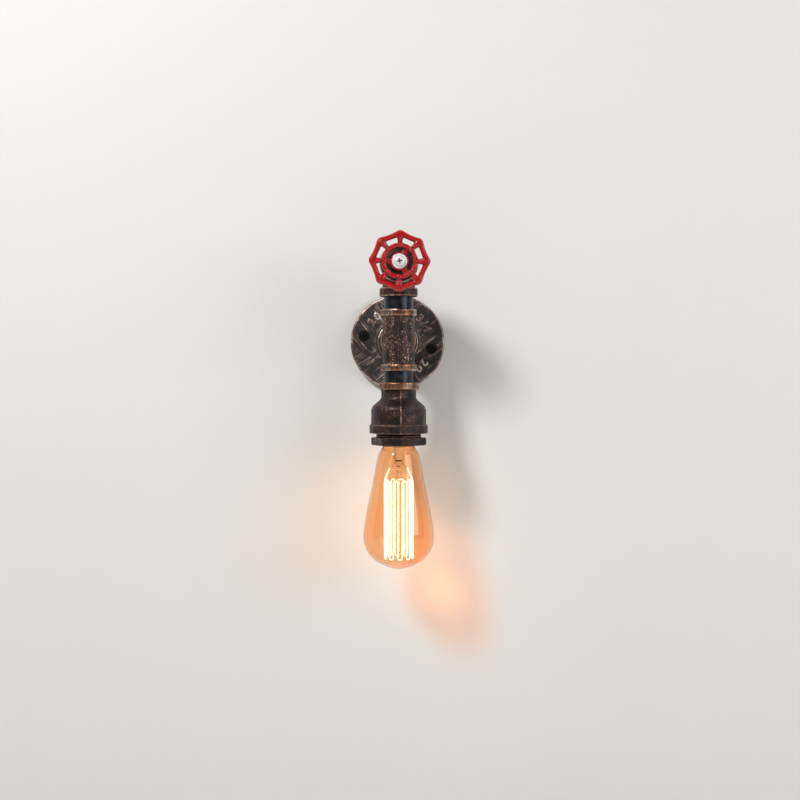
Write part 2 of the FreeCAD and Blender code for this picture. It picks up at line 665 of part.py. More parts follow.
def wheel_bar(width, depth, inner, outer, middle, angle):
    """Radial bar of the wheel at one angle, rounded along its length."""
    bar = block((inner, outer), (middle - depth / 2, middle + depth / 2), (-width / 2, width / 2))
    lengthwise = [edge for edge in bar.Edges
                  if abs(edge.tangentAt(edge.FirstParameter).x) > 0.9]
    bar = bar.makeFillet(min(width, depth) * 0.3, lengthwise)
    bar.rotate(Vector(0, 0, 0), Vector(0, 1, 0), -angle)
    return bar


def make_handwheel():
    """Cast valve wheel: scalloped rim, inner ring, dished arms and hub."""
    middle = HUB_FRONT - WHEEL_RIM_FORWARD
    rim = wheel_outline(0.0, middle - WHEEL_RIM_DEPTH / 2).extrude(
        Vector(0, WHEEL_RIM_DEPTH, 0))
    rim_inner = WHEEL_VALLEY - WHEEL_RIM_WIDTH
    rim = rim.cut(level(rim_inner, middle - WHEEL_RIM_DEPTH, middle + WHEEL_RIM_DEPTH))
    rim = rim.makeFillet(WHEEL_RIM_ROUND, [edge for edge in rim.Edges
                                           if edge.BoundBox.YLength < 0.01])
    ring = level(WHEEL_RING_OUTER, middle - WHEEL_RING_DEPTH / 2, middle + WHEEL_RING_DEPTH / 2)
    ring = ring.cut(level(WHEEL_RING_INNER, middle - WHEEL_RING_DEPTH, middle + WHEEL_RING_DEPTH))
    ring = ring.makeFillet(WHEEL_RIM_ROUND * 0.9, [edge for edge in ring.Edges
                                             if edge.BoundBox.YLength < 0.01])
    hub = level(WHEEL_HUB / 2, HUB_FRONT, HUB_FRONT + WHEEL_HUB_DEPTH)
    hub = rounded(hub, WHEEL_RIM_ROUND / 2, circle_edge_at(WHEEL_HUB / 2, 1, HUB_FRONT))
    pieces = [ring, hub]
    overlap = WHEEL_RIM_WIDTH / 2
    for index in range(WHEEL_NODES):
        angle = 90 + WHEEL_TURN + index * 360.0 / WHEEL_NODES
        pieces.append(wheel_bar(WHEEL_SPOKE, WHEEL_SPOKE_DEPTH, WHEEL_RING_OUTER - overlap,
                                WHEEL_NODE_RADIUS - WHEEL_NODE_ROUND, middle, angle))
    arm_middle = HUB_FRONT + WHEEL_ARM_SET_BACK + WHEEL_ARM_DEPTH / 2
    for index in range(WHEEL_ARMS):
        angle = 60 + index * 360.0 / WHEEL_ARMS
        pieces.append(wheel_bar(WHEEL_ARM, WHEEL_ARM_DEPTH, WHEEL_HUB / 4,
                                WHEEL_RING_INNER + overlap, arm_middle, angle))
    wheel = joined(rim, *pieces)
    hole = STEM_SQUARE / 2 + SMALL_CLEARANCE
    wheel = wheel.cut(block((-hole, hole), (HUB_FRONT - 1, STEM_COLLAR_FRONT), (-hole, hole)))
    wheel.translate(Vector(0, 0, WHEEL_Z))
    return wheel


def make_stem():
    """Turned stem with a collar, a squared front end and a groove for its clip."""
    inner_end = ELBOW_FRONT + PLUG_SCREWED + STEM_INSIDE
    groove = ELBOW_FRONT + PLUG_SCREWED + FREE_CLEARANCE
    stem = joined(level(STEM_DIAMETER / 2, STEM_COLLAR_FRONT, inner_end, z=WHEEL_Z),
                  level(STEM_COLLAR / 2, STEM_COLLAR_FRONT,
                        STEM_COLLAR_FRONT + STEM_COLLAR_WIDTH, z=WHEEL_Z))
    groove_end = groove + CLIP_THICKNESS + SMALL_CLEARANCE
    notch = level(STEM_DIAMETER, groove, groove_end, z=WHEEL_Z).cut(
        level(STEM_GROOVE / 2, groove, groove_end, z=WHEEL_Z))
    half = STEM_SQUARE / 2
    square = block((-half, half), (HUB_FRONT + FREE_CLEARANCE, STEM_COLLAR_FRONT),
                   (WHEEL_Z - half, WHEEL_Z + half))
    stem = joined(stem.cut(notch), square)
    screw_end = HUB_FRONT - WASHER_THICKNESS + WHEEL_SCREW_LENGTH
    return stem.cut(level(WHEEL_SCREW / 2 + SMALL_CLEARANCE, HUB_FRONT,
                          screw_end + FREE_CLEARANCE, z=WHEEL_Z))


def make_stem_clip():
    """Open clip in the stem's groove behind the plug."""
    front = ELBOW_FRONT + PLUG_SCREWED + FREE_CLEARANCE
    back = front + CLIP_THICKNESS
    clip = level(CLIP_OUTER / 2, front, back, z=WHEEL_Z)
    clip = clip.cut(level(STEM_GROOVE / 2 + SMALL_CLEARANCE, front, back, z=WHEEL_Z))
    mouth = block((-CLIP_MOUTH / 2, CLIP_MOUTH / 2), (front, back),
                  (WHEEL_Z - CLIP_OUTER, WHEEL_Z))
    return clip.cut(mouth)


def make_plug():
    """Plug in the elbow's front socket, bored for the stem."""
    inner = ELBOW_FRONT + PLUG_SCREWED
    collar_front = ELBOW_FRONT - PLUG_COLLAR_WIDTH
    bore = STEM_DIAMETER / 2 + RUNNING_CLEARANCE
    return turned_level([(bore, PLUG_FACE), (PLUG_BOSS / 2 - BAND_ROUND, PLUG_FACE),
                         (PLUG_BOSS / 2, PLUG_FACE + BAND_ROUND),
                         (PLUG_BOSS / 2, collar_front), (PLUG_COLLAR / 2, collar_front),
                         (PLUG_COLLAR / 2, ELBOW_FRONT), (PIPE_RADIUS, ELBOW_FRONT),
                         (PIPE_RADIUS, inner), (bore, inner)], z=WHEEL_Z)


def make_washer():
    """Plain washer under the wheel's screw."""
    front = HUB_FRONT - WASHER_THICKNESS
    washer = level(WASHER_DIAMETER / 2, front, HUB_FRONT, z=WHEEL_Z)
    washer = rounded(washer, WASHER_ROUND,
                     circle_edge_at(WASHER_DIAMETER / 2, 1, front))
    return washer.cut(level(WHEEL_SCREW / 2 + SMALL_CLEARANCE, front, HUB_FRONT, z=WHEEL_Z))


def make_wheel_screw():
    """Pan-head screw with a cross recess that holds the wheel."""
    seat = HUB_FRONT - WASHER_THICKNESS
    front = seat - WHEEL_SCREW_HEAD_HEIGHT
    head = level(WHEEL_SCREW_HEAD / 2, front, seat, z=WHEEL_Z)
    head = rounded(head, WHEEL_SCREW_ROUND,
                   circle_edge_at(WHEEL_SCREW_HEAD / 2, 1, front))
    screw = joined(head, level(WHEEL_SCREW / 2, seat, seat + WHEEL_SCREW_LENGTH, z=WHEEL_Z))
    return screw.cut(cross_slot(CROSS_WIDTH, WHEEL_CROSS, front, CROSS_DEPTH,
                                0, WHEEL_Z, WHEEL_CROSS_TURN))


# ------------------------------------------------------------------- lampholder
def make_holder_body():
    """Porcelain body: deep socket below, pockets and holes in its crown."""
    socket = SHELL_MAJOR / 2 + SHELL_WALL + FREE_CLEARANCE
    crown = HOLDER_CROWN_Z
    body = turned_upright([(0, crown), (HOLDER_TOP / 2, crown),
                           (HOLDER_SKIRT / 2, crown - HOLDER_CONE),
                           (HOLDER_SKIRT / 2, HOLDER_MOUTH), (socket, HOLDER_MOUTH),
                           (socket, HOLDER_CEILING), (0, HOLDER_CEILING)])
    body = rounded(body, BAND_ROUND, circle_edge_at(HOLDER_SKIRT / 2, 2, crown - HOLDER_CONE))
    half = TERMINAL_SIZE / 2 + SMALL_CLEARANCE
    for side in (-1, 1):
        centre = PIPE_Y + side * TERMINAL_OFFSET
        body = body.cut(block((-half, half), (centre - half, centre + half),
                              (crown - TERMINAL_SEAT, crown)))
        body = body.cut(upright(TERMINAL_STUD / 2 + SMALL_CLEARANCE, HOLDER_CEILING, crown,
                                y=centre))
        body = body.cut(upright(BRACKET_SCREW / 2 + SMALL_CLEARANCE, HOLDER_CEILING, crown,
                                x=side * BRACKET_SCREW_OFFSET))
    return body


def make_shell():
    """Screw shell with its rolled-in thread, lip and tab to a terminal."""
    outer = SHELL_MAJOR / 2 + SHELL_WALL
    low = HOLDER_MOUTH + SHELL_RIM_RISE
    lip_bore = SHELL_LIP_BORE / 2
    tube = turned_upright([(SHELL_MAJOR / 2, low), (outer, low), (outer, HOLDER_CEILING),
                           (lip_bore, HOLDER_CEILING),
                           (lip_bore, HOLDER_CEILING - SHELL_WALL),
                           (SHELL_MAJOR / 2, HOLDER_CEILING - SHELL_WALL)])
    half = LEAF_WIDTH / 2
    tab = block((-half, half), (PIPE_Y - lip_bore - SHELL_WALL, PIPE_Y - TERMINAL_OFFSET + half),
                (HOLDER_CEILING - SHELL_WALL, HOLDER_CEILING))
    start = TIP_Z - CAP_THREAD_START + THREAD_PITCH / 2
    bead = helical_ridge(SHELL_MAJOR / 2 + SHELL_WALL / 2, SHELL_MINOR / 2, start, SHELL_TURNS,
                         SHELL_BEAD_FOOT, SHELL_BEAD_TOP)
    return joined(tube, tab).fuse(bead)


def make_contact_leaf():
    """Spring leaf at the socket's centre, joined to the other terminal."""
    half = LEAF_WIDTH / 2
    top = HOLDER_CEILING
    low = top - LEAF_THICKNESS - LEAF_DROP
    far = PIPE_Y + TERMINAL_OFFSET + TERMINAL_STUD / 2
    profile = [(far, top), (far, top - LEAF_THICKNESS),
               (PIPE_Y + 4.2, top - LEAF_THICKNESS), (PIPE_Y + 2.6, low),
               (PIPE_Y - 2.6, low), (PIPE_Y - 3.4, low + LEAF_THICKNESS / 2),
               (PIPE_Y - 2.8, low + LEAF_THICKNESS), (PIPE_Y + 2.4, low + LEAF_THICKNESS),
               (PIPE_Y + 3.6, top)]
    points = [Vector(-half, y, z) for y, z in profile]
    return prism(points, Vector(LEAF_WIDTH, 0, 0))


def lead_entry_z():
    """Height of the leads where they enter the holder's terminals."""
    return HOLDER_CROWN_Z + WIRE / 2 + FREE_CLEARANCE


def make_terminals():
    """Two brass terminals with a stud through the crown."""
    solids = []
    half = TERMINAL_SIZE / 2
    low = HOLDER_CROWN_Z - TERMINAL_SEAT
    high = low + TERMINAL_HEIGHT
    for side in (-1, 1):
        centre = PIPE_Y + side * TERMINAL_OFFSET
        body = joined(block((-half, half), (centre - half, centre + half), (low, high)),
                      upright(TERMINAL_STUD / 2, HOLDER_CEILING, low, y=centre))
        front, back = sorted((centre - side * half, centre + side * WIRE / 2))
        body = body.cut(level(WIRE / 2 + SMALL_CLEARANCE, front, back, z=lead_entry_z()))
        body = body.cut(upright(TERMINAL_SCREW / 2 + SMALL_CLEARANCE, lead_entry_z(), high,
                                y=centre))
        solids.append(body)
    return Part.makeCompound(solids)


def make_terminal_screws():
    """Clamp screw of each holder terminal, down onto the lead."""
    solids = []
    tip = lead_entry_z() + WIRE / 2 + SMALL_CLEARANCE
    seat = HOLDER_CROWN_Z - TERMINAL_SEAT + TERMINAL_HEIGHT + SMALL_CLEARANCE
    head = seat + TERMINAL_SCREW_HEAD_HEIGHT
    for side in (-1, 1):
        y = PIPE_Y + side * TERMINAL_OFFSET
        slot = block((-TERMINAL_SCREW_HEAD, TERMINAL_SCREW_HEAD),
                     (y - SLOT_WIDTH / 2, y + SLOT_WIDTH / 2), (head - SLOT_DEPTH, head))
        screw = joined(upright(TERMINAL_SCREW / 2, tip, seat, y=y),
                       upright(TERMINAL_SCREW_HEAD / 2, seat, head, y=y))
        solids.append(screw.cut(slot))
    return Part.makeCompound(solids)


def make_bracket():
    """Steel bridge on the porcelain, with a collar for the hollow tube."""
    plate_low = HOLDER_CROWN_Z + BRACKET_RISE
    half_length = BRACKET_LENGTH / 2
    half_width = BRACKET_WIDTH / 2
    y_range = (PIPE_Y - half_width, PIPE_Y + half_width)
    bridge_half = BRACKET_SCREW_OFFSET - BRACKET_SCREW_HEAD / 2 - FREE_CLEARANCE
    plate = block((-bridge_half, bridge_half), y_range, (plate_low, BRACKET_TOP))
    parts = [plate]
    for side in (-1, 1):
        inner, outer = sorted((side * bridge_half, side * (bridge_half - BRACKET_THICKNESS)))
        parts.append(block((inner, outer), y_range, (HOLDER_CROWN_Z, BRACKET_TOP)))
        foot = sorted((side * (bridge_half - BRACKET_THICKNESS), side * half_length))
        parts.append(block(foot, y_range, (HOLDER_CROWN_Z, HOLDER_CROWN_Z + BRACKET_THICKNESS)))
    parts.append(upright(BRACKET_COLLAR / 2, BRACKET_TOP - BRACKET_THICKNESS / 2,
                         BRACKET_TOP + BRACKET_COLLAR_HEIGHT))
    body = joined(*parts)
    body = body.cut(upright(TUBE_OUTER / 2 + SMALL_CLEARANCE, plate_low,
                            BRACKET_TOP + BRACKET_COLLAR_HEIGHT))
    for side in (-1, 1):
        body = body.cut(upright(BRACKET_SCREW / 2 + SMALL_CLEARANCE, HOLDER_CROWN_Z,
                                HOLDER_CROWN_Z + BRACKET_THICKNESS,
                                x=side * BRACKET_SCREW_OFFSET))
    reach = half_length
    return body.common(upright(reach, HOLDER_CROWN_Z, REDUCER_SEAT))


def make_bracket_screws():
    """Screws from the bracket's feet into the porcelain's crown."""
    solids = []
    seat = HOLDER_CROWN_Z + BRACKET_THICKNESS
    top = seat + BRACKET_SCREW_HEAD_HEIGHT
    for side in (-1, 1):
        x = side * BRACKET_SCREW_OFFSET
        head = upright(BRACKET_SCREW_HEAD / 2, seat, top, x=x)
        shank = upright(BRACKET_SCREW / 2, HOLDER_CEILING + FREE_CLEARANCE, seat, x=x)
        slot = block((x - SLOT_WIDTH / 2, x + SLOT_WIDTH / 2),
                     (PIPE_Y - BRACKET_SCREW_HEAD, PIPE_Y + BRACKET_SCREW_HEAD),
                     (top - SLOT_DEPTH, top))
        solids.append(joined(head, shank).cut(slot))
    return Part.makeCompound(solids)


def tube_ends():
    """Lower and upper end of the hollow tube."""
    return (BRACKET_TOP - BRACKET_THICKNESS,
            REDUCER_SEAT + DISC_THICKNESS + TUBE_ABOVE_DISC)


def make_holder_tube():
    """Hollow screwed tube from the disc down to the bracket."""
    low, high = tube_ends()
    return pipe(TUBE_OUTER, TUBE_BORE, low, high)


def make_tube_nuts():
    """Nuts above and below the support disc."""
    bore = TUBE_OUTER / 2 + SMALL_CLEARANCE
    solids = []
    for low in (REDUCER_SEAT + DISC_THICKNESS, REDUCER_SEAT - TUBE_NUT_HEIGHT):
        high = low + TUBE_NUT_HEIGHT
        solids.append(hexagon(TUBE_NUT_FLATS, low, high).cut(upright(bore, low, high)))
    return Part.makeCompound(solids)


def make_support_disc():
    """Steel disc on the reducer's stop, held down by the pipe above."""
    low, high = REDUCER_SEAT, REDUCER_SEAT + DISC_THICKNESS
    disc = upright(PIPE_RADIUS, low, high)
    return disc.cut(upright(TUBE_OUTER / 2 + SMALL_CLEARANCE, low, high))


def make_tube_bush():
    """Soft bush in the tube's upper end, so that its edge can't cut the leads."""
    top = tube_ends()[1]
    flange_top = top + BUSH_FLANGE_THICKNESS
    return turned_upright([(BUSH_BORE / 2, top - BUSH_LENGTH),
                           (TUBE_BORE / 2 - SMALL_CLEARANCE, top - BUSH_LENGTH),
                           (TUBE_BORE / 2 - SMALL_CLEARANCE, top),
                           (BUSH_FLANGE / 2, top), (BUSH_FLANGE / 2, flange_top),
                           (BUSH_BORE / 2, flange_top)])


# --------------------------------------------------------- wiring inside the pipe
def pole_places():
    """X of each pole of the terminal block."""
    middle = (BLOCK_POLES - 1) / 2
    return [(index - middle) * BLOCK_PITCH for index in range(BLOCK_POLES)]


def block_centre_z():
    """Height of the terminal block's brass tubes."""
    return BLOCK_Z + BLOCK_HEIGHT / 2


def make_terminal_block():
    """Insulating block in the branch pipe, with a bore for each pole."""
    back = -BLOCK_FRONT + BLOCK_LENGTH
    half = BLOCK_WIDTH / 2
    z = block_centre_z()
    body = block((-half, half), (-BLOCK_FRONT, back), (BLOCK_Z, BLOCK_Z + BLOCK_HEIGHT))
    for x in pole_places():
        body = body.cut(level(BLOCK_TUBE / 2 + SMALL_CLEARANCE, -BLOCK_FRONT, back, x, z))
        for y in block_screw_places():
            body = body.cut(upright(BLOCK_SCREW / 2 + 2 * SMALL_CLEARANCE, z,
                                    BLOCK_Z + BLOCK_HEIGHT, x, y))
    return body


def block_screw_places():
    """Depths of the two clamp screws of each pole."""
    middle = -BLOCK_FRONT + BLOCK_LENGTH / 2
    return [middle - BLOCK_SCREW_SPACING / 2, middle + BLOCK_SCREW_SPACING / 2]


def make_block_tubes():
    """Brass tube of each pole."""
    solids = []
    z = block_centre_z()
    front = -BLOCK_FRONT + BLOCK_TUBE_INSET
    back = -BLOCK_FRONT + BLOCK_LENGTH - BLOCK_TUBE_INSET
    for x in pole_places():
        tube = level(BLOCK_TUBE / 2, front, back, x, z)
        tube = tube.cut(level(BLOCK_TUBE_BORE / 2, front, back, x, z))
        for y in block_screw_places():
            tube = tube.cut(upright(BLOCK_SCREW / 2 + SMALL_CLEARANCE, z, z + BLOCK_TUBE, x, y))
        solids.append(tube)
    return Part.makeCompound(solids)


def make_block_screws():
    """Clamp screws of the terminal block."""
    solids = []
    low = block_centre_z() + WIRE / 2 + SMALL_CLEARANCE
    high = BLOCK_Z + BLOCK_HEIGHT - BLOCK_SCREW_SUNK
    half = BLOCK_SLOT_WIDTH / 2
    for x in pole_places():
        for y in block_screw_places():
            screw = upright(BLOCK_SCREW / 2, low, high, x, y)
            slot = block((x - BLOCK_SCREW, x + BLOCK_SCREW), (y - half, y + half),
                         (high - SLOT_DEPTH, high))
            solids.append(screw.cut(slot))
    return Part.makeCompound(solids)


def make_supply_lead(side, name):
    """Insulated lead from the terminal block to one holder terminal."""
    x = side * WIRE_SPACING / 2
    pole = side * BLOCK_PITCH
    z = block_centre_z()
    low, high = tube_ends()
    terminal_y = PIPE_Y + side * (TERMINAL_OFFSET + WIRE / 2 - SMALL_CLEARANCE)
    entry = lead_entry_z()
    start = Vector(pole, -BLOCK_FRONT + BLOCK_TUBE_INSET + BLOCK_SCREW_SPACING / 2, z)
    over = high + WIRE_OVER_TUBE
    bow = (z + high) / 2 + WIRE_OVER_TUBE
    points = [start, Vector(pole, -BLOCK_FRONT - WIRE_STRAIGHT, z),
              Vector(x, -BLOCK_FRONT - WIRE_GATHERED, z + WIRE_GATHERED_RISE),
              Vector(x, PIPE_Y + WIRE_BEND, z), Vector(x, PIPE_Y, z - WIRE_BEND),
              Vector(x, PIPE_Y - WIRE_SLACK, bow), Vector(x, PIPE_Y, over),
              Vector(x, PIPE_Y + side * WIRE_SPREAD, low + WIRE_SPREAD_RISE),
              Vector(x * 0.8, PIPE_Y + side * WIRE_SLACK, entry),
              Vector(0, PIPE_Y + side * WIRE_ENTRY, entry), Vector(0, terminal_y, entry)]
    return routed_wire(points, WIRE, name)


def make_earth_lead():
    """Insulated lead from the middle pole over the block to the earth screw."""
    z = block_centre_z()
    barrel = earth_barrel()
    end, away = barrel[0], barrel[1]
    over = BORE_RADIUS - WIRE / 2 - 2 * FREE_CLEARANCE
    points = [Vector(0, -BLOCK_FRONT + BLOCK_TUBE_INSET + BLOCK_SCREW_SPACING / 2, z),
              Vector(0, -BLOCK_FRONT - 4.6, z), Vector(0, -BLOCK_FRONT - 5.0, over - 0.6),
              Vector(-1.0, -BLOCK_FRONT + BLOCK_LENGTH / 2, over - 0.2),
              Vector(-3.0, -8.0, over - 1.4), end - away * 3.2, end]
    return routed_wire(points, WIRE, "earth_wire")


def earth_barrel():
    """End of the ring terminal's barrel and the way toward the ring."""
    x, z = earth_place()
    ring = Vector(x, -RECESS_DEPTH + RING_THICKNESS / 2, z)
    inward = Vector(-x, 0, -z).normalize()
    lift = Vector(0, RING_BARREL / 2 - RING_THICKNESS / 2, 0)
    return ring + inward * RING_TAIL + lift, inward * -1


def make_ring_terminal():
    """Ring terminal under the earth screw, with its barrel round the lead."""
    x, z = earth_place()
    low, high = -RECESS_DEPTH, -RECESS_DEPTH + RING_THICKNESS
    ring = level(RING_DIAMETER / 2, low, high, x, z)
    end, away = earth_barrel()
    barrel_length = RING_TAIL - RING_DIAMETER / 2
    barrel = Part.makeCylinder(RING_BARREL / 2, barrel_length, end, away)
    barrel = barrel.common(block((-RECESS_DIAMETER, RECESS_DIAMETER), (low, 0),
                                 (-RECESS_DIAMETER, RECESS_DIAMETER)))
    neck = Part.makeBox(barrel_length + RING_DIAMETER / 4, RING_THICKNESS, RING_NECK,
                        Vector(0, low, -RING_NECK / 2))
    neck.rotate(Vector(0, 0, 0), Vector(0, 1, 0), -EARTH_ANGLE)
    neck.translate(Vector(end.x, 0, end.z))
    body = joined(ring, barrel, neck)
    body = body.cut(level(EARTH_SCREW / 2 + SMALL_CLEARANCE, low, high, x, z))
    return body.cut(Part.makeCylinder(WIRE / 2 + SMALL_CLEARANCE, barrel_length - 1.0, end, away))


def make_earth_screw():
    """Pan-head earth screw in the flange's recess."""
    x, z = earth_place()
    seat = -RECESS_DEPTH + RING_THICKNESS
    top = seat + EARTH_SCREW_HEAD_HEIGHT
    end = -(FLANGE_THICKNESS - SOCKET_END_GAP) + SMALL_CLEARANCE
    head = rounded(level(EARTH_SCREW_HEAD / 2, seat, top, x, z), EARTH_SCREW_ROUND,
                   circle_edge_at(EARTH_SCREW_HEAD / 2, 1, top))
    body = joined(head, level(EARTH_SCREW / 2, end, seat, x, z))
    half = EARTH_SLOT_WIDTH / 2
    slot = block((x - EARTH_SCREW_HEAD, x + EARTH_SCREW_HEAD), (top - EARTH_SLOT_DEPTH, top),
                 (z - half, z + half))
    return body.cut(slot)


# ------------------------------------------------------------------------- bulb
def make_tip_contact():
    """Domed contact at the tip of the cap, a body of its own below the thread."""
    radius = TIP_DIAMETER / 2
    low = TIP_Z - TIP_HEIGHT
    contact = rounded(upright(radius, low, TIP_Z), TIP_ROUND,
                      circle_edge_at(radius, 2, TIP_Z))
    return contact


def make_insulator():
    """Black glass between the contact and the cap's shell."""
    high = TIP_Z - TIP_HEIGHT - SMALL_CLEARANCE
    low = high - INSULATOR_HEIGHT
    return turned_upright([(0, high), (INSULATOR_TOP / 2, high), (INSULATOR_LOW / 2, low),
                           (INSULATOR_LOW / 2, low - CAP_WALL), (0, low - CAP_WALL)])


def make_cap():
    """Screw cap of sheet brass with its rolled thread."""
    inner = SMALL_CLEARANCE
    top = TIP_Z - TIP_HEIGHT - SMALL_CLEARANCE - INSULATOR_HEIGHT
    shoulder = top - CAP_SHOULDER
    start = TIP_Z - CAP_SKIRT_START
    root, skirt = CAP_ROOT / 2, CAP_SKIRT / 2
    hole = INSULATOR_LOW / 2 + inner
    shell = turned_upright([(hole, top), (root - CAP_SHOULDER, top), (root, shoulder),
                            (root, start), (skirt, start - CAP_SKIRT_SLOPE), (skirt, CAP_EDGE),
                            (skirt - CAP_WALL, CAP_EDGE), (skirt - CAP_WALL, start - CAP_SKIRT_SLOPE),
                            (root - CAP_WALL, start), (root - CAP_WALL, shoulder),
                            (root - CAP_SHOULDER, top - CAP_WALL), (hole, top - CAP_WALL)])
    ridge = helical_ridge(root - CAP_WALL / 2, CAP_CREST / 2, TIP_Z - CAP_THREAD_START,
                          CAP_TURNS, CAP_RIDGE_FOOT, CAP_RIDGE_TOP)
    return shell.fuse(ridge)


def glass_outline(inset):
    """Outline of the glass from its neck to its bottom, moved in by a distance."""
    neck_top = CAP_EDGE + GLASS_NECK_INSIDE
    outer = [(GLASS_NECK / 2, -GLASS_FLARE_START)]
    outer += [(radius, drop) for drop, radius in GLASS_UPPER]
    outer += [(radius, GLASS_LENGTH - rise) for rise, radius in GLASS_LOWER]
    outer.append((0.0, GLASS_LENGTH))
    knots = [Vector(GLASS_NECK / 2 - inset, PIPE_Y, CAP_EDGE + GLASS_FLARE_START)]
    for before, (radius, drop), after in zip(outer, outer[1:], outer[2:]):
        along = Vector(after[0] - before[0], 0, before[1] - after[1]).normalize()
        knots.append(Vector(radius + along.z * inset, PIPE_Y,
                            CAP_EDGE - drop - along.x * inset))
    knots.append(Vector(0, PIPE_Y, GLASS_BOTTOM + inset))
    curve = Part.BSplineCurve()
    curve.interpolate(Points=knots, InitialTangent=Vector(0, 0, -1),
                      FinalTangent=Vector(-1, 0, 0))
    middle_top = Vector(0, PIPE_Y, neck_top)
    side_top = Vector(knots[0].x, PIPE_Y, neck_top)
    return [Part.LineSegment(middle_top, side_top).toShape(),
            Part.LineSegment(side_top, knots[0]).toShape(),
            curve.toShape(),
            Part.LineSegment(knots[-1], middle_top).toShape()]


def make_glass():
    """Long tear-shaped glass, open at its neck."""
    solids = []
    for inset in (0.0, GLASS_WALL):
        face = Part.Face(Part.Wire(glass_outline(inset)))
        solids.append(face.revolve(Vector(0, PIPE_Y, 0), Vector(0, 0, 1), 360))
    return solids[0].cut(solids[1])


def make_mount():
    """Glass stem: flare in the neck, tube, pinch and the rod with its buttons."""
    flare = GLASS_NECK / 2 - GLASS_WALL - FREE_CLEARANCE
    top = CAP_EDGE + GLASS_NECK_INSIDE
    tube = MOUNT_TUBE / 2
    rod = MOUNT_ROD / 2
    button = MOUNT_BUTTON / 2
    pinch = MOUNT_PINCH / 2
    upper = PINCH_END - MOUNT_BUTTON_START - MOUNT_BUTTON_SLOPE
    lower = MOUNT_LOW + MOUNT_END_SLOPE
    return turned_upright([(0, top), (flare, top), (flare, top - MOUNT_FLARE_EDGE),
                           (tube, top - MOUNT_FLARE), (tube, CAP_EDGE - MOUNT_PINCH_START),
                           (pinch, PINCH_END + MOUNT_PINCH_FLAT), (pinch, PINCH_END),
                           (rod, PINCH_END - MOUNT_PINCH_TAPER),
                           (rod, upper + MOUNT_BUTTON_SLOPE), (button, upper),
                           (button, upper - MOUNT_BUTTON_FLAT),
                           (rod, upper - MOUNT_BUTTON_FLAT - MOUNT_BUTTON_SLOPE),
                           (rod, lower + MOUNT_BUTTON_FLAT + MOUNT_BUTTON_SLOPE),
                           (button, lower + MOUNT_BUTTON_FLAT), (button, lower),
                           (rod, MOUNT_LOW), (0, MOUNT_LOW)])


def cage_angle(index):
    """Angle of a strand about the bulb's axis; half steps lie between strands."""
    return math.radians(360.0 * (index + 0.5) / STRANDS + CAGE_TURN)


def cage_point(index, height):
    """Point on the filament's cage at one strand and one height."""
    angle = cage_angle(index)
    return Vector(CAGE_RADIUS * math.cos(angle), PIPE_Y + CAGE_RADIUS * math.sin(angle),
                  height)


def lead_end(side):
    """Lower end of a lead, where the filament is clamped."""
    return Vector(side * LEAD_REACH, PIPE_Y, PINCH_END - LEAD_DROP)


def make_leads():
    """Two leads from the pinch out to the ends of the filament."""
    solids = []
    for side in (-1, 1):
        foot = Vector(side * (MOUNT_PINCH / 2 + LEAD_WIRE / 2 + SMALL_CLEARANCE), PIPE_Y,
                      PINCH_END + LEAD_RISE)
        bend = Vector(foot.x, PIPE_Y, foot.z - LEAD_FOOT)
        solids.append(routed_wire([foot, bend, lead_end(side)], LEAD_WIRE))
    return Part.makeCompound(solids)


def make_filament():
    """Two wires from lead to lead, up and down between the hooks round the cage."""
    gap = LEAD_WIRE / 2 + STRAND_WIRE / 2 + SMALL_CLEARANCE
    wires = []
    for half, side in ((0, 1), (STRANDS // 2, -1)):
        points = [lead_end(side) + Vector(0, side * gap, 0)]
        for index in range(half, half + STRANDS // 2):
            ends = [cage_point(index, CAGE_HIGH), cage_point(index, CAGE_LOW)]
            points += ends if index % 2 == 0 else ends[::-1]
        points.append(lead_end(-side) + Vector(0, side * gap, 0))
        wires.append(routed_wire(points, STRAND_WIRE, "filament"))
    return Part.makeCompound(wires)


def make_hooks():
    """Hook wires from the rod's buttons to each turn of the filament."""
    solids = []
    button = MOUNT_BUTTON / 2 + HOOK_WIRE / 2
    reach = CAGE_RADIUS * math.cos(math.pi / STRANDS) - STRAND_WIRE - HOOK_WIRE
    for index in range(STRANDS - 1):
        if index + 1 == STRANDS // 2:
            continue
        upper = index % 2 == 1
        angle = cage_angle(index + 0.5)
        start_z = PINCH_END - UPPER_HOOK_START if upper else MOUNT_LOW + LOWER_HOOK_RISE
        end_z = CAGE_HIGH + HOOK_PAST if upper else CAGE_LOW - HOOK_PAST
        way = Vector(math.cos(angle), math.sin(angle), 0)
        centre = Vector(0, PIPE_Y, 0)
        start = centre + way * button + Vector(0, 0, start_z)
        end = centre + way * reach + Vector(0, 0, end_z)
        solids.append(Part.makeCylinder(HOOK_WIRE / 2, (end - start).Length, start, end - start))
    return Part.makeCompound(solids)


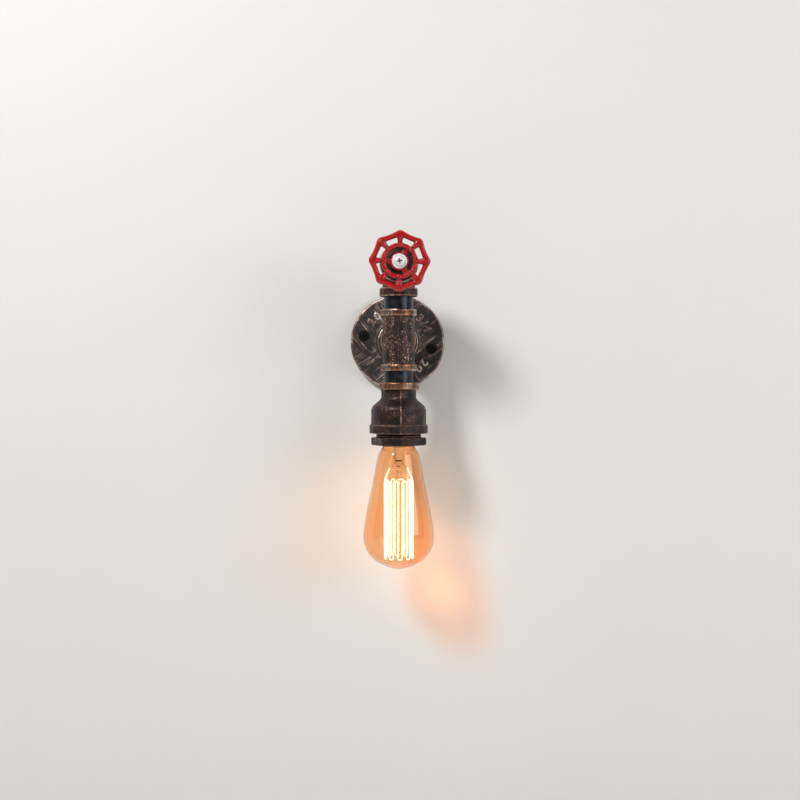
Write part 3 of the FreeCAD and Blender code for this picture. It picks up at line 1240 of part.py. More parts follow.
# ---------------------------------------------------------------------- writing
NODES = {
    "wall_flange": make_flange,
    "wall_screws": make_wall_screws,
    "branch_nipple": make_branch_nipple,
    "tee": make_tee,
    "upper_nipple": make_upper_nipple,
    "elbow": make_elbow,
    "stem_plug": make_plug,
    "lower_nipple": make_lower_nipple,
    "bell_reducer": make_reducer,
    "hex_bushing": make_bushing,
    "lampholder_body": make_holder_body,
    "lampholder_shell": make_shell,
    "centre_contact": make_contact_leaf,
    "holder_terminals": make_terminals,
    "holder_terminal_screws": make_terminal_screws,
    "holder_bracket": make_bracket,
    "holder_bracket_screws": make_bracket_screws,
    "holder_tube": make_holder_tube,
    "tube_nuts": make_tube_nuts,
    "support_disc": make_support_disc,
    "tube_bush": make_tube_bush,
    "line_wire": lambda: make_supply_lead(1, "line_wire"),
    "neutral_wire": lambda: make_supply_lead(-1, "neutral_wire"),
    "earth_wire": make_earth_lead,
    "earth_ring_terminal": make_ring_terminal,
    "earth_screw": make_earth_screw,
    "terminal_block": make_terminal_block,
    "terminal_block_tubes": make_block_tubes,
    "terminal_block_screws": make_block_screws,
    "handwheel": make_handwheel,
    "wheel_stem": make_stem,
    "wheel_washer": make_washer,
    "wheel_screw": make_wheel_screw,
    "stem_clip": make_stem_clip,
    "bulb_tip_contact": make_tip_contact,
    "bulb_insulator": make_insulator,
    "bulb_cap": make_cap,
    "bulb_glass": make_glass,
    "bulb_mount": make_mount,
    "filament_leads": make_leads,
    "filament_hooks": make_hooks,
    "filament": make_filament,
}


def main():
    """Build every node and write it as a STEP file of its own."""
    os.makedirs("parts", exist_ok=True)
    for name, make in NODES.items():
        shape = make()
        print("%-24s solids %2d valid %s volume %9.1f" % (
            name, len(shape.Solids), shape.isValid(), shape.Volume))
        shape.exportStep("parts/" + name + ".step")


main()
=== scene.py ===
"""Industrial pipe wall light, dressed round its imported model.

Cast pipe fittings on a round wall flange carry a red valve handwheel above and a
long tear-shaped filament bulb below.  Lengths are metres in the model's frame:
the wall is the plane y = 0, the light stands out toward -Y and +Z is up.
"""
import logging
import math
from dataclasses import dataclass, field
from enum import Enum
from typing import Iterable, Sequence

import bmesh
import bpy
import numpy as np
from bpy.types import ID, Curve, Material, Mesh, Node, NodeSocket, NodeTree, Object
from mathutils import Matrix, Vector, noise


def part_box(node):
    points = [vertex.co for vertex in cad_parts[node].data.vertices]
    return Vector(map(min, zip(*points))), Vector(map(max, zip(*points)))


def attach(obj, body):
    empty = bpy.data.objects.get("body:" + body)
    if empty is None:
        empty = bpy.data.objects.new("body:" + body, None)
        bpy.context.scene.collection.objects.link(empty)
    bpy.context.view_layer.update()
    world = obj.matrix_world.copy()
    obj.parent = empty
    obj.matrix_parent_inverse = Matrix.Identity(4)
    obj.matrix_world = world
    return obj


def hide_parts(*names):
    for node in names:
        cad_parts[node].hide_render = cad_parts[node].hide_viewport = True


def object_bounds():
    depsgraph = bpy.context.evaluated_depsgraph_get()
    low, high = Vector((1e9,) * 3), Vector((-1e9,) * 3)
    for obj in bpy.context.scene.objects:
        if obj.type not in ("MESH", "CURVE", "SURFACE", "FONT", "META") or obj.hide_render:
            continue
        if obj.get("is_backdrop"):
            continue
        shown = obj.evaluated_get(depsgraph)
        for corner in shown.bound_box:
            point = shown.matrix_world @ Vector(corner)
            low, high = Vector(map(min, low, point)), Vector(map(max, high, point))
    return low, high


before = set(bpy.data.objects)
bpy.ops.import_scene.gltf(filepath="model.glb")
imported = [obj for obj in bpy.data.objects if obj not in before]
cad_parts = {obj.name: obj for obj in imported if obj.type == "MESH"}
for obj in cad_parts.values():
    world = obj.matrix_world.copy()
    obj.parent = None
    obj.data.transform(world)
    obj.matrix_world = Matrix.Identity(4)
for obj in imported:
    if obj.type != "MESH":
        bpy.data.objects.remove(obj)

LOG = logging.getLogger("pipe_light")
Colour = tuple[float, float, float]
Corner = tuple[float, float, float]
Place = tuple[float, float, float]
Point2 = tuple[float, float]
MM = 0.001
SAME_PLACE = 1e-7         # points closer than this are one
FINE = 0.9 * MM           # longest run of a turned outline that is seen
COARSE = 5 * MM           # the same on a cutter
CUTTER_PAST = 1 * MM      # how far a cutter stands out of what it cuts
SOCKET_PLAY = 0.15 * MM   # room round a pipe in its socket
SOFT_EDGE = 0.25 * MM     # width of a finish's edge round a hole or recess
# Wear marks that are also curvature: their low values place the enamel's painted shade.
WEAR = "wear"             # attribute with the wear marks


class Axis(Enum):
    """Which way the axis of a turned piece points."""

    UP = "z"
    LEVEL = "y"


class Bar(Enum):
    """Cross-section of a straight bar, as its number of sides."""

    ROUND = 24
    SQUARE = 4


class Combine(Enum):
    """What two closed shapes make together."""

    CUT = "DIFFERENCE"
    JOIN = "UNION"


# --------------------------------------------------------- measures of the solids
def ends(node: str, axis: int) -> Point2:
    """Lowest and highest place of a node along one axis."""
    low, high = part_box(node)
    return low[axis], high[axis]


def middle(node: str) -> Vector:
    """Centre of a node's box."""
    low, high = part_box(node)
    return (Vector(low) + Vector(high)) / 2


def width(node: str, axis: int = 0) -> float:
    """Size of a node along one axis."""
    low, high = ends(node, axis)
    return high - low


def socket_radius(node: str) -> float:
    """Radius of the plain socket that a pipe stands in."""
    return width(node) / 2 + SOCKET_PLAY


def centre_at(centre: Vector, y: float) -> Vector:
    """The point of a level axis at one depth."""
    return Vector((centre.x, y, centre.z))


def screw_holes() -> list[Point2]:
    """X and Z of the centre of each countersunk hole in the flange.

    Returns:
        The places of the four centres.
    """
    centre = middle("branch_nipple")
    count, first, reach = 4, -10.2, 32.0 * MM
    ways = [math.radians(first + 360 * index / count) for index in range(count)]
    return [(centre.x + reach * math.cos(way), centre.z + reach * math.sin(way))
            for way in ways]


def screw_pit() -> Place:
    """Point on the wheel's axis just behind the face of its screw's head."""
    washer, inside = middle("wheel_washer"), 0.3 * MM
    return washer.x, ends("wheel_screw", 1)[0] + inside, washer.z


# ------------------------------------------------------------------- mesh making
def linked(name: str, data: ID) -> Object:
    """Object that carries a mesh, curve, lamp or camera, linked to the scene.

    Args:
        name: Its name.
        data: What it carries.

    Returns:
        The object.
    """
    made = bpy.data.objects.new(name, data)
    bpy.context.scene.collection.objects.link(made)
    return made


def mesh_object(name: str, vertices: Sequence, faces: Sequence) -> Object:
    """Make an object from vertices and faces.

    Args:
        name: Name of the object and its mesh.
        vertices: Places in metres.
        faces: Vertex numbers of each face.

    Returns:
        The new object, linked to the scene.
    """
    mesh = bpy.data.meshes.new(name)
    mesh.from_pydata([tuple(v) for v in vertices], [], [tuple(f) for f in faces])
    mesh.update()
    return linked(name, mesh)


def rounded_profile(corners: Iterable[Corner], steps: int = 5) -> list[Point2]:
    """Turn corners with radii into an outline with arcs.

    Args:
        corners: (radius from the axis, place along it, rounding) of each corner.
        steps: Straight pieces in each arc.

    Returns:
        The outline's points in order.
    """
    listed = list(corners)
    points: list[Point2] = []
    for index, (r, h, rounding) in enumerate(listed):
        before, after = listed[index - 1], listed[(index + 1) % len(listed)]
        here = Vector((r, h))
        if rounding <= 0:
            points.append((r, h))
            continue
        back = (Vector(before[:2]) - here).normalized()
        on = (Vector(after[:2]) - here).normalized()
        half = math.acos(max(-1.0, min(1.0, back.dot(on)))) / 2
        trim = rounding / math.tan(half)
        centre = here + (back + on).normalized() * (rounding / math.sin(half))
        start, end = here + back * trim - centre, here + on * trim - centre
        sweep = start.angle_signed(end)
        for step in range(steps + 1):
            turned = start.copy()
            turned.rotate(Matrix.Rotation(-sweep * step / steps, 2))
            points.append(tuple(centre + turned))
    return points


def divided(points: Sequence[Point2], longest: float, closed: bool) -> list[Point2]:
    """Divide an outline's long runs, so that its mesh is even.

    Args:
        points: The outline's points.
        longest: Longest run that stays whole.
        closed: Whether the last point joins the first.

    Returns:
        The outline with more points.
    """
    out: list[Point2] = []
    count = len(points) if closed else len(points) - 1
    for index in range(count):
        a, b = Vector(points[index]), Vector(points[(index + 1) % len(points)])
        pieces = max(1, math.ceil((b - a).length / longest))
        out += [tuple(a.lerp(b, step / pieces)) for step in range(pieces)]
    if not closed:
        out.append(tuple(points[-1]))
    return out


def turned(name: str, points: Sequence[Point2], centre: Vector, axis: Axis,
           segments: int = 120, longest: float = FINE) -> Object:
    """Turn a piece on a lathe.

    Args:
        name: Name of the piece.
        points: (radius, place along the axis); a ring unless its ends are on the axis.
        centre: A point on the axis; the places along it are the frame's own.
        axis: Which way the axis points.
        segments: Faces round the piece.
        longest: Longest run of the outline between two rings of vertices.

    Returns:
        The piece, closed, with its faces outward.
    """
    closed = min(points[0][0], points[-1][0]) > SAME_PLACE
    outline = divided(points, longest, closed)
    vertices, rings = [], []
    for radius, place in outline:
        ring = []
        for step in range(segments if radius > SAME_PLACE else 1):
            angle = 2 * math.pi * step / segments
            across = (radius * math.cos(angle), radius * math.sin(angle))
            ring.append(len(vertices))
            if axis is Axis.UP:
                vertices.append((centre.x + across[0], centre.y + across[1], place))
            else:
                vertices.append((centre.x + across[0], place, centre.z + across[1]))
        rings.append(ring)
    faces = []
    pairs = list(zip(rings, rings[1:])) + ([(rings[-1], rings[0])] if closed else [])
    for low, high in pairs:
        for step in range(segments):
            after = (step + 1) % segments
            face = [low[step % len(low)], low[after % len(low)],
                    high[after % len(high)], high[step % len(high)]]
            distinct = list(dict.fromkeys(face))
            if len(distinct) > 2:
                faces.append(distinct)
    return face_outward(mesh_object(name, vertices, faces))


def rod(name: str, radius: float, low: float, high: float, centre: Vector, axis: Axis,
        longest: float = FINE) -> Object:
    """Plain solid cylinder between two places along its axis."""
    return turned(name, [(0.0, low), (radius, low), (radius, high), (0.0, high)],
                  centre, axis, 96, longest)


def face_outward(piece: Object) -> Object:
    """Merge doubles and turn every face of a closed piece outward.

    Args:
        piece: The closed piece.

    Returns:
        The piece.
    """
    work = bmesh.new()
    work.from_mesh(piece.data)
    bmesh.ops.remove_doubles(work, verts=work.verts, dist=SAME_PLACE)
    bmesh.ops.recalc_face_normals(work, faces=work.faces)
    if work.calc_volume(signed=True) < 0:
        bmesh.ops.reverse_faces(work, faces=work.faces)
    work.to_mesh(piece.data)
    work.free()
    return piece


def bar(name: str, start: Vector, end: Vector, radii: Point2, kind: Bar = Bar.ROUND,
        squash: float = 1.0) -> Object:
    """Straight bar between two points.

    Args:
        name: Name of the piece.
        start: Middle of its first end.
        end: Middle of its other end.
        radii: Half width at each end.
        kind: Cross-section.
        squash: Depth along Y over width.

    Returns:
        The closed bar.
    """
    way = (end - start).normalized()
    side = way.cross(Vector((0, 1, 0)))
    if side.length < 0.1:
        side = Vector((1, 0, 0))
    side.normalize()
    other = way.cross(side).normalized() * squash
    count = kind.value
    vertices = []
    for place, radius in ((start, radii[0]), (end, radii[1])):
        for step in range(count):
            angle = 2 * math.pi * (step + 0.5) / count
            vertices.append(place + side * radius * math.cos(angle)
                            + other * radius * math.sin(angle))
    faces = [tuple(range(count))[::-1], tuple(range(count, 2 * count))]
    for step in range(count):
        after = (step + 1) % count
        faces.append((step, after, count + after, count + step))
    return face_outward(mesh_object(name, vertices, faces))


def smooth_through(knots: Sequence[Vector], start: Vector, end: Vector,
                   steps: int) -> list[Point2]:
    """Smooth curve through points, with set directions at its ends.

    Args:
        knots: Points to pass through.
        start: Direction at the first point.
        end: Direction at the last point.
        steps: Pieces between two points.

    Returns:
        Points along the curve.
    """
    out: list[Point2] = []
    across = [(after - before).normalized() for before, after in zip(knots, knots[2:])]
    slopes = [start, *across, end]
    for index, (a, b) in enumerate(zip(knots, knots[1:])):
        span = (b - a).length
        for step in range(steps):
            t = step / steps
            place = ((2 * t ** 3 - 3 * t ** 2 + 1) * a + (t ** 3 - 2 * t ** 2 + t) * span
                     * slopes[index] + (-2 * t ** 3 + 3 * t ** 2) * b
                     + (t ** 3 - t ** 2) * span * slopes[index + 1])
            out.append((place.x, place.y))
    out.append((knots[-1].x, knots[-1].y))
    return out


def drawn(curve: Curve) -> Mesh:
    """Turn a curve or a text into a mesh.

    Args:
        curve: The curve or text, with its thickness set.

    Returns:
        The mesh.
    """
    holder = linked(curve.name, curve)
    graph = bpy.context.evaluated_depsgraph_get()
    mesh = bpy.data.meshes.new_from_object(holder.evaluated_get(graph))
    bpy.data.objects.remove(holder)
    return mesh


def wire(name: str, points: Sequence[Vector], radius: float) -> Object:
    """Round wire along points.

    Args:
        name: Name of the piece.
        points: Points of its middle line.
        radius: Half its thickness.

    Returns:
        The closed wire.
    """
    curve = bpy.data.curves.new(name, "CURVE")
    curve.dimensions, curve.bevel_depth = "3D", radius
    curve.bevel_resolution, curve.use_fill_caps = 3, True
    line = curve.splines.new("POLY")
    line.points.add(len(points) - 1)
    for slot, point in zip(line.points, points):
        slot.co = (*point, 1.0)
    return face_outward(linked(name, drawn(curve)))


def applied(piece: Object) -> Object:
    """Turn a piece's modifiers into plain mesh and take them off.

    Args:
        piece: The piece.

    Returns:
        The piece.
    """
    graph = bpy.context.evaluated_depsgraph_get()
    graph.update()
    mesh = bpy.data.meshes.new_from_object(piece.evaluated_get(graph))
    mesh.name = piece.name
    piece.modifiers.clear()
    old = piece.data
    piece.data = mesh
    if old.users == 0:
        bpy.data.meshes.remove(old)
    return piece


def merged(name: str, pieces: Sequence[Object]) -> Object:
    """Join several meshes into one object.

    Args:
        name: Name of the joined object.
        pieces: The objects, which are used up.

    Returns:
        The joined object.
    """
    work = bmesh.new()
    for piece in pieces:
        work.from_mesh(piece.data)
    mesh = bpy.data.meshes.new(name)
    work.to_mesh(mesh)
    work.free()
    for piece in pieces:
        bpy.data.objects.remove(piece)
    return linked(name, mesh)


def combined(piece: Object, how: Combine, others: Sequence[Object]) -> Object:
    """Cut closed shapes out of a piece, or join them to it as one skin.

    Args:
        piece: The closed piece.
        how: Whether the shapes are cut out or joined.
        others: Closed shapes, which are used up.

    Returns:
        The piece.
    """
    for other in others:
        step = piece.modifiers.new(how.name, "BOOLEAN")
        step.operation, step.solver, step.object = how.value, "EXACT", other
        applied(piece)
        bpy.data.objects.remove(other)
    return piece


def cast(piece: Object, voxel: float, rounds: int) -> Object:
    """Melt overlapping closed shapes into one casting with soft corners.

    Args:
        piece: Closed shapes in one mesh.
        voxel: Grain of the new mesh.
        rounds: Rounds of smoothing.

    Returns:
        The piece, with even faces.
    """
    melt = piece.modifiers.new("melt", "REMESH")
    melt.mode, melt.voxel_size, melt.adaptivity = "VOXEL", voxel, 0.0
    soften = piece.modifiers.new("soften", "SMOOTH")
    soften.factor, soften.iterations = 0.5, rounds
    return applied(piece)


@dataclass(frozen=True)
class SandMould:
    """Slight unevenness that a sand mould leaves on a casting.

    Attributes:
        depth: Largest move of the surface.
        size: Size of the hollows.
        seed: Which pattern.
        finer: How much finer the second pattern is, at half the depth.
    """

    depth: float
    size: float
    seed: float
    finer: float = 2.3

    def press(self, piece: Object) -> None:
        """Sink hollows into a casting's skin.

        Args:
            piece: The casting.
        """
        mesh = piece.data
        shift = Vector((self.seed, self.seed * 0.7, -self.seed))
        normals = [v.normal.copy() for v in mesh.vertices]
        for vertex, normal in zip(mesh.vertices, normals):
            value = noise.noise(vertex.co / self.size + shift)
            value += 0.5 * noise.noise(vertex.co * self.finer / self.size - shift)
            vertex.co += normal * (min(value, 0.0) * self.depth)


def edge_arrays(mesh: Mesh) -> tuple[np.ndarray, np.ndarray, np.ndarray]:
    """Read a mesh into arrays.

    Args:
        mesh: The mesh.

    Returns:
        Place and normal of each vertex, and the two vertices of each edge.
    """
    places = np.empty(len(mesh.vertices) * 3)
    normals = np.empty(len(mesh.vertices) * 3)
    edges = np.empty(len(mesh.edges) * 2, dtype=np.int64)
    mesh.vertices.foreach_get("co", places)
    mesh.vertices.foreach_get("normal", normals)
    mesh.edges.foreach_get("vertices", edges)
    return places.reshape(-1, 3), normals.reshape(-1, 3), edges.reshape(-1, 2)


@dataclass(frozen=True)
class Handled:
    """Raised bands of a fitting that hands and rags rub: beyond a radius of an axis."""

    centre: Vector
    start: float
    rise: float = 1.6 * MM
    amount: float = 0.24

    def share(self, places: np.ndarray) -> np.ndarray:
        """Extra wear at each place."""
        apart = np.hypot(places[:, 0] - self.centre.x, places[:, 1] - self.centre.y)
        return np.clip((apart - self.start) / self.rise, 0.0, 1.0) * self.amount


def mark_wear(piece: Object, reach: int = 3, gain: float = 5.0,
              handled: Handled | None = None) -> None:
    """Write where a piece's edges stand out, as the attribute that finishes read.

    Args:
        piece: The piece; its mesh is fairly even.
        reach: Rounds that widen the marks.
        gain: How strongly a curved edge is marked.
        handled: Raised bands that are worn all over.
    """
    mesh = piece.data
    places, normals, edges = edge_arrays(mesh)
    a, b = edges[:, 0], edges[:, 1]
    along = places[a] - places[b]
    length = np.maximum(np.linalg.norm(along, axis=1), 1e-9)
    count = np.bincount(edges.ravel(), minlength=len(places)).clip(1)
    bend = np.zeros(len(places))
    np.add.at(bend, a, np.einsum("ij,ij->i", along, normals[a]) / length)
    np.add.at(bend, b, -np.einsum("ij,ij->i", along, normals[b]) / length)
    bend /= count
    for _ in range(reach):
        spread = np.zeros(len(places))
        np.add.at(spread, a, bend[b])
        np.add.at(spread, b, bend[a])
        bend = 0.5 * bend + 0.5 * spread / count
    values = 0.5 + bend * gain
    if handled is not None:
        values += handled.share(places)
    values = np.clip(values, 0.0, 1.0)
    mark = mesh.attributes.new(WEAR, "FLOAT", "POINT")
    mark.data.foreach_set("value", values.astype(np.float32))


def add_wear(piece: Object, more: np.ndarray) -> None:
    """Add to a piece's wear marks, one value for each vertex, up to full wear."""
    for mark, extra in zip(piece.data.attributes[WEAR].data, more):
        mark.value = min(1.0, mark.value + float(extra))


def shade(piece: Object, degrees: float = 32.0) -> None:
    """Shade smoothly, but keep edges sharper than an angle."""
    piece.data.shade_smooth()
    piece.data.set_sharp_from_angle(angle=math.radians(degrees))


# ---------------------------------------------------------------- geometry nodes
def ring_tree(material: Material) -> NodeTree:
    """Node tree that repeats a mesh round an axis along Y or Z.

    Args:
        material: Finish of the copies.

    Returns:
        The tree; its inputs are Geometry, Count, Turn, Step, Centre and Axis.
    """
    tree = bpy.data.node_groups.new("Ring of copies", "GeometryNodeTree")
    face = tree.interface
    face.new_socket("Geometry", in_out="INPUT", socket_type="NodeSocketGeometry")
    for name, kind in (("Count", "NodeSocketInt"), ("Turn", "NodeSocketFloat"),
                       ("Step", "NodeSocketFloat"), ("Centre", "NodeSocketVector"),
                       ("Axis", "NodeSocketVector")):
        face.new_socket(name, in_out="INPUT", socket_type=kind)
    face.new_socket("Geometry", in_out="OUTPUT", socket_type="NodeSocketGeometry")
    nodes = tree.nodes
    given, result = nodes.new("NodeGroupInput"), nodes.new("NodeGroupOutput")
    points = nodes.new("GeometryNodePoints")
    index = nodes.new("GeometryNodeInputIndex")
    angle = nodes.new("ShaderNodeMath")
    angle.operation = "MULTIPLY_ADD"
    turn = nodes.new("FunctionNodeAxisAngleToRotation")
    to_axis, from_axis = nodes.new("GeometryNodeTransform"), nodes.new("GeometryNodeTransform")
    away = nodes.new("ShaderNodeVectorMath")
    away.operation = "SCALE"
    away.inputs["Scale"].default_value = -1.0
    copies = nodes.new("GeometryNodeInstanceOnPoints")
    real = nodes.new("GeometryNodeRealizeInstances")
    finish = nodes.new("GeometryNodeSetMaterial")
    finish.inputs["Material"].default_value = material
    shape, centre = given.outputs["Geometry"], given.outputs["Centre"]
    for start, end in ((given.outputs["Count"], points.inputs["Count"]),
                       (index.outputs[0], angle.inputs[0]),
                       (given.outputs["Step"], angle.inputs[1]),
                       (given.outputs["Turn"], angle.inputs[2]),
                       (given.outputs["Axis"], turn.inputs["Axis"]),
                       (angle.outputs[0], turn.inputs["Angle"]),
                       (centre, away.inputs[0]),
                       (shape, to_axis.inputs["Geometry"]),
                       (away.outputs[0], to_axis.inputs["Translation"]),
                       (points.outputs[0], copies.inputs["Points"]),
                       (to_axis.outputs[0], copies.inputs["Instance"]),
                       (turn.outputs[0], copies.inputs["Rotation"]),
                       (copies.outputs[0], real.inputs[0]),
                       (real.outputs[0], from_axis.inputs["Geometry"]),
                       (centre, from_axis.inputs["Translation"]),
                       (from_axis.outputs[0], finish.inputs["Geometry"]),
                       (finish.outputs[0], result.inputs[0])):
        tree.links.new(start, end)
    return tree


def ring_of(piece: Object, tree: NodeTree, count: int, turn: float,
            centre: Vector, axis: Axis, step: float | None = None) -> Object:
    """Repeat a piece round an axis.

    Args:
        piece: The first copy, as it stands at angle 0.
        tree: Tree made by ring_tree.
        count: Number of copies.
        turn: Angle of the first copy in radians.
        centre: A point on the axis.
        axis: Which way the axis points.
        step: Angle between copies, or None for an even ring.

    Returns:
        The piece as a plain mesh of all its copies.
    """
    modifier = piece.modifiers.new("ring", "NODES")
    modifier.node_group = tree
    sockets = {item.name: item.identifier for item in tree.interface.items_tree
               if item.item_type == "SOCKET" and item.in_out == "INPUT"}
    modifier[sockets["Count"]] = count
    modifier[sockets["Turn"]] = turn
    modifier[sockets["Step"]] = 2 * math.pi / count if step is None else step
    modifier[sockets["Centre"]] = tuple(centre)
    modifier[sockets["Axis"]] = (0.0, 0.0, 1.0) if axis is Axis.UP else (0.0, -1.0, 0.0)
    return applied(piece)


# --------------------------------------------------------------------- materials
class Graph:
    """A material's nodes, made with short calls."""

    def __init__(self, name: str) -> None:
        """Start an empty node material with a Principled shader.

        Args:
            name: The material's name.
        """
        self.material = bpy.data.materials.new(name)
        self.material.use_nodes = True
        self.tree = self.material.node_tree
        self.shader = self.tree.nodes["Principled BSDF"]
        self.place = self.node("ShaderNodeTexCoord").outputs["Object"]

    def node(self, kind: str, **settings: object) -> Node:
        """Add a node and set its properties.

        Args:
            kind: The node's type.
            settings: Its properties by name.

        Returns:
            The node.
        """
        made = self.tree.nodes.new(kind)
        for name, value in settings.items():
            setattr(made, name, value)
        return made

    def join(self, value: object, socket: NodeSocket) -> None:
        """Link an output to a socket, or set the socket's own value.

        Args:
            value: An output, a colour or a number.
            socket: The input that gets it.
        """
        if isinstance(value, NodeSocket):
            self.tree.links.new(value, socket)
        elif isinstance(value, tuple) and len(value) == 3 and socket.type == "RGBA":
            socket.default_value = (*value, 1.0)
        else:
            socket.default_value = value

    def grain(self, size: float, detail: float = 4.0, rough: float = 0.55,
              stretch: Place = (1.0, 1.0, 1.0), turn: float = 0.0) -> NodeSocket:
        """Noise whose features are about size metres.

        Args:
            size: Feature size.
            detail: Octaves.
            rough: Weight of the finer octaves.
            stretch: Scale along each axis; a small scale draws the features out.
            turn: Degrees about Y by which the drawn-out features are turned.

        Returns:
            The noise's value.
        """
        place = self.place
        for setting, values in (("Rotation", (0.0, math.radians(turn), 0.0)),
                                ("Scale", stretch)):
            mapping = self.node("ShaderNodeMapping")
            mapping.inputs[setting].default_value = values
            self.join(place, mapping.inputs["Vector"])
            place = mapping.outputs[0]
        made = self.node("ShaderNodeTexNoise")
        self.join(place, made.inputs["Vector"])
        made.inputs["Scale"].default_value = 1.0 / size
        made.inputs["Detail"].default_value = detail
        made.inputs["Roughness"].default_value = rough
        return made.outputs["Fac"]

    def between(self, value: object, low: float, high: float, out_low: float = 0.0,
                out_high: float = 1.0) -> NodeSocket:
        """Map a value from one range smoothly to another, held at its ends.

        Args:
            value: The value.
            low: Value that gives out_low.
            high: Value that gives out_high.
            out_low: Result at low.
            out_high: Result at high.

        Returns:
            The result.
        """
        made = self.node("ShaderNodeMapRange", interpolation_type="SMOOTHSTEP")
        for slot, number in zip(("Value", "From Min", "From Max", "To Min", "To Max"),
                                (value, low, high, out_low, out_high)):
            self.join(number, made.inputs[slot])
        return made.outputs[0]

    def maths(self, operation: str, a: object, b: object) -> NodeSocket:
        """Join two values by arithmetic.

        Args:
            operation: Name of the operation.
            a: First value.
            b: Second value.

        Returns:
            The result.
        """
        made = self.node("ShaderNodeMath", operation=operation)
        self.join(a, made.inputs[0])
        self.join(b, made.inputs[1])
        return made.outputs[0]

    def times(self, a: object, b: object) -> NodeSocket:
        """Product of two values."""
        return self.maths("MULTIPLY", a, b)

    def rest_of(self, share: object) -> NodeSocket:
        """What a share leaves of 1."""
        return self.maths("SUBTRACT", 1.0, share)

    def blend(self, share: object, a: object, b: object) -> NodeSocket:
        """Mix two colours.

        Args:
            share: Share of the second colour.
            a: First colour.
            b: Second colour.

        Returns:
            The mixed colour.
        """
        made = self.node("ShaderNodeMix", data_type="RGBA")
        self.join(share, made.inputs["Factor"])
        self.join(a, made.inputs["A"])
        self.join(b, made.inputs["B"])
        return made.outputs["Result"]

    def wear(self) -> NodeSocket:
        """How far an edge stands out, from the attribute that mark_wear writes."""
        return self.node("ShaderNodeAttribute", attribute_name=WEAR).outputs["Fac"]

    def near_axis(self, x: float, z: float, radius: float) -> NodeSocket:
        """Mark what lies near a level axis along Y.

        Args:
            x: X of the axis.
            z: Z of the axis.
            radius: Reach of the mark.

        Returns:
            1 within the radius and 0 outside, with a soft edge.
        """
        parts = self.node("ShaderNodeSeparateXYZ")
        self.join(self.place, parts.inputs[0])
        across = self.maths("SUBTRACT", parts.outputs[0], x)
        up = self.maths("SUBTRACT", parts.outputs[2], z)
        square = self.maths("ADD", self.times(across, across), self.times(up, up))
        return self.between(self.maths("SQRT", square, 0.0), radius, radius - SOFT_EDGE)

    def bump(self, height: object, distance: float, strength: float = 1.0) -> None:
        """Raise the surface, over what is raised already.

        Args:
            height: Height from 0 to 1.
            distance: Length that a height of 1 stands for.
            strength: Share of the effect.
        """
        made = self.node("ShaderNodeBump")
        made.inputs["Strength"].default_value = strength
        made.inputs["Distance"].default_value = distance
        self.join(height, made.inputs["Height"])
        normal = self.shader.inputs["Normal"]
        if normal.is_linked:
            self.join(normal.links[0].from_socket, made.inputs["Normal"])
        self.join(made.outputs[0], normal)

    def set(self, **values: object) -> None:
        """Set or link the shader's sockets, named with underscores for spaces."""
        for name, value in values.items():
            self.join(value, self.shader.inputs[name.replace("_", " ")])

    def reveal(self, share: object, coat: object, metal: object) -> None:
        """Show bright metal through a dark coat, by the metal's share."""
        self.set(Base_Color=self.blend(share, coat, metal),
                 Metallic=self.between(share, 0.0, 0.8, 0.55, 1.0))

    def clear_where(self, share: object, tint: Colour) -> None:
        """Let light straight through where a share is 1.

        Args:
            share: Where the surface is clear.
            tint: Colour of the light that comes through.
        """
        clear = self.node("ShaderNodeBsdfTransparent")
        self.join(tint, clear.inputs["Color"])
        either = self.node("ShaderNodeMixShader")
        self.join(share, either.inputs[0])
        self.join(self.shader.outputs[0], either.inputs[1])
        self.join(clear.outputs[0], either.inputs[2])
        self.join(either.outputs[0], self.tree.nodes["Material Output"].inputs["Surface"])


@dataclass(frozen=True)
class AntiqueIron:
    """Cast iron with a bronze-black patina, brushed to copper on its edges."""

    name: str = "antique_iron"
    patina: Colour = (0.018, 0.014, 0.014)
    umber: Colour = (0.070, 0.030, 0.017)
    copper: Colour = (0.48, 0.21, 0.11)
    silver: Colour = (0.56, 0.45, 0.38)
    grain_size: float = 1.3 * MM
    grain_depth: float = 0.20 * MM
    speckle: float = 1.0
    patch_size: float = 9 * MM
    rag_size: float = 3.0 * MM
    rag_stretch: Place = (1.0, 1.0, 0.35)
    worn: Point2 = (0.62, 0.92)
    wiped: Point2 = (0.35, 0.62)
    bare_grains: Point2 = (0.55, 0.64)
    brown_patches: Point2 = (0.38, 0.62)
    silver_patches: Point2 = (0.46, 0.60)
    polish: float = -0.25
    roughness: Point2 = (0.32, 0.56)

    def build(self) -> Material:
        """Build the material.

        Returns:
            The material.
        """
        g = Graph(self.name)
        fine = g.grain(self.grain_size, 3.0, 0.6)
        patches = g.grain(self.patch_size, 5.0, 0.62)
        rag = g.grain(self.rag_size, 4.0, 0.65, self.rag_stretch)
        edge = g.between(g.wear(), *self.worn)
        rubbed = g.times(edge, g.between(rag, *self.wiped, 0.3, 1.0))
        grains = g.times(g.between(fine, *self.bare_grains),
                         g.between(patches, 0.36, 0.58, 0.1, self.speckle))
        share = g.maths("MAXIMUM", rubbed, grains)
        coat = g.blend(g.between(patches, *self.brown_patches), self.patina, self.umber)
        bright = g.maths("MAXIMUM", g.between(patches, *self.silver_patches), grains)
        metal = g.blend(bright, self.copper, self.silver)
        rough = g.maths("ADD", fine, g.times(share, self.polish))
        g.reveal(share, coat, metal)
        g.set(Roughness=g.between(rough, 0.2, 0.8, *self.roughness))
        g.bump(fine, self.grain_depth)
        g.bump(patches, self.grain_depth * 2.0, 0.6)
        return g.material


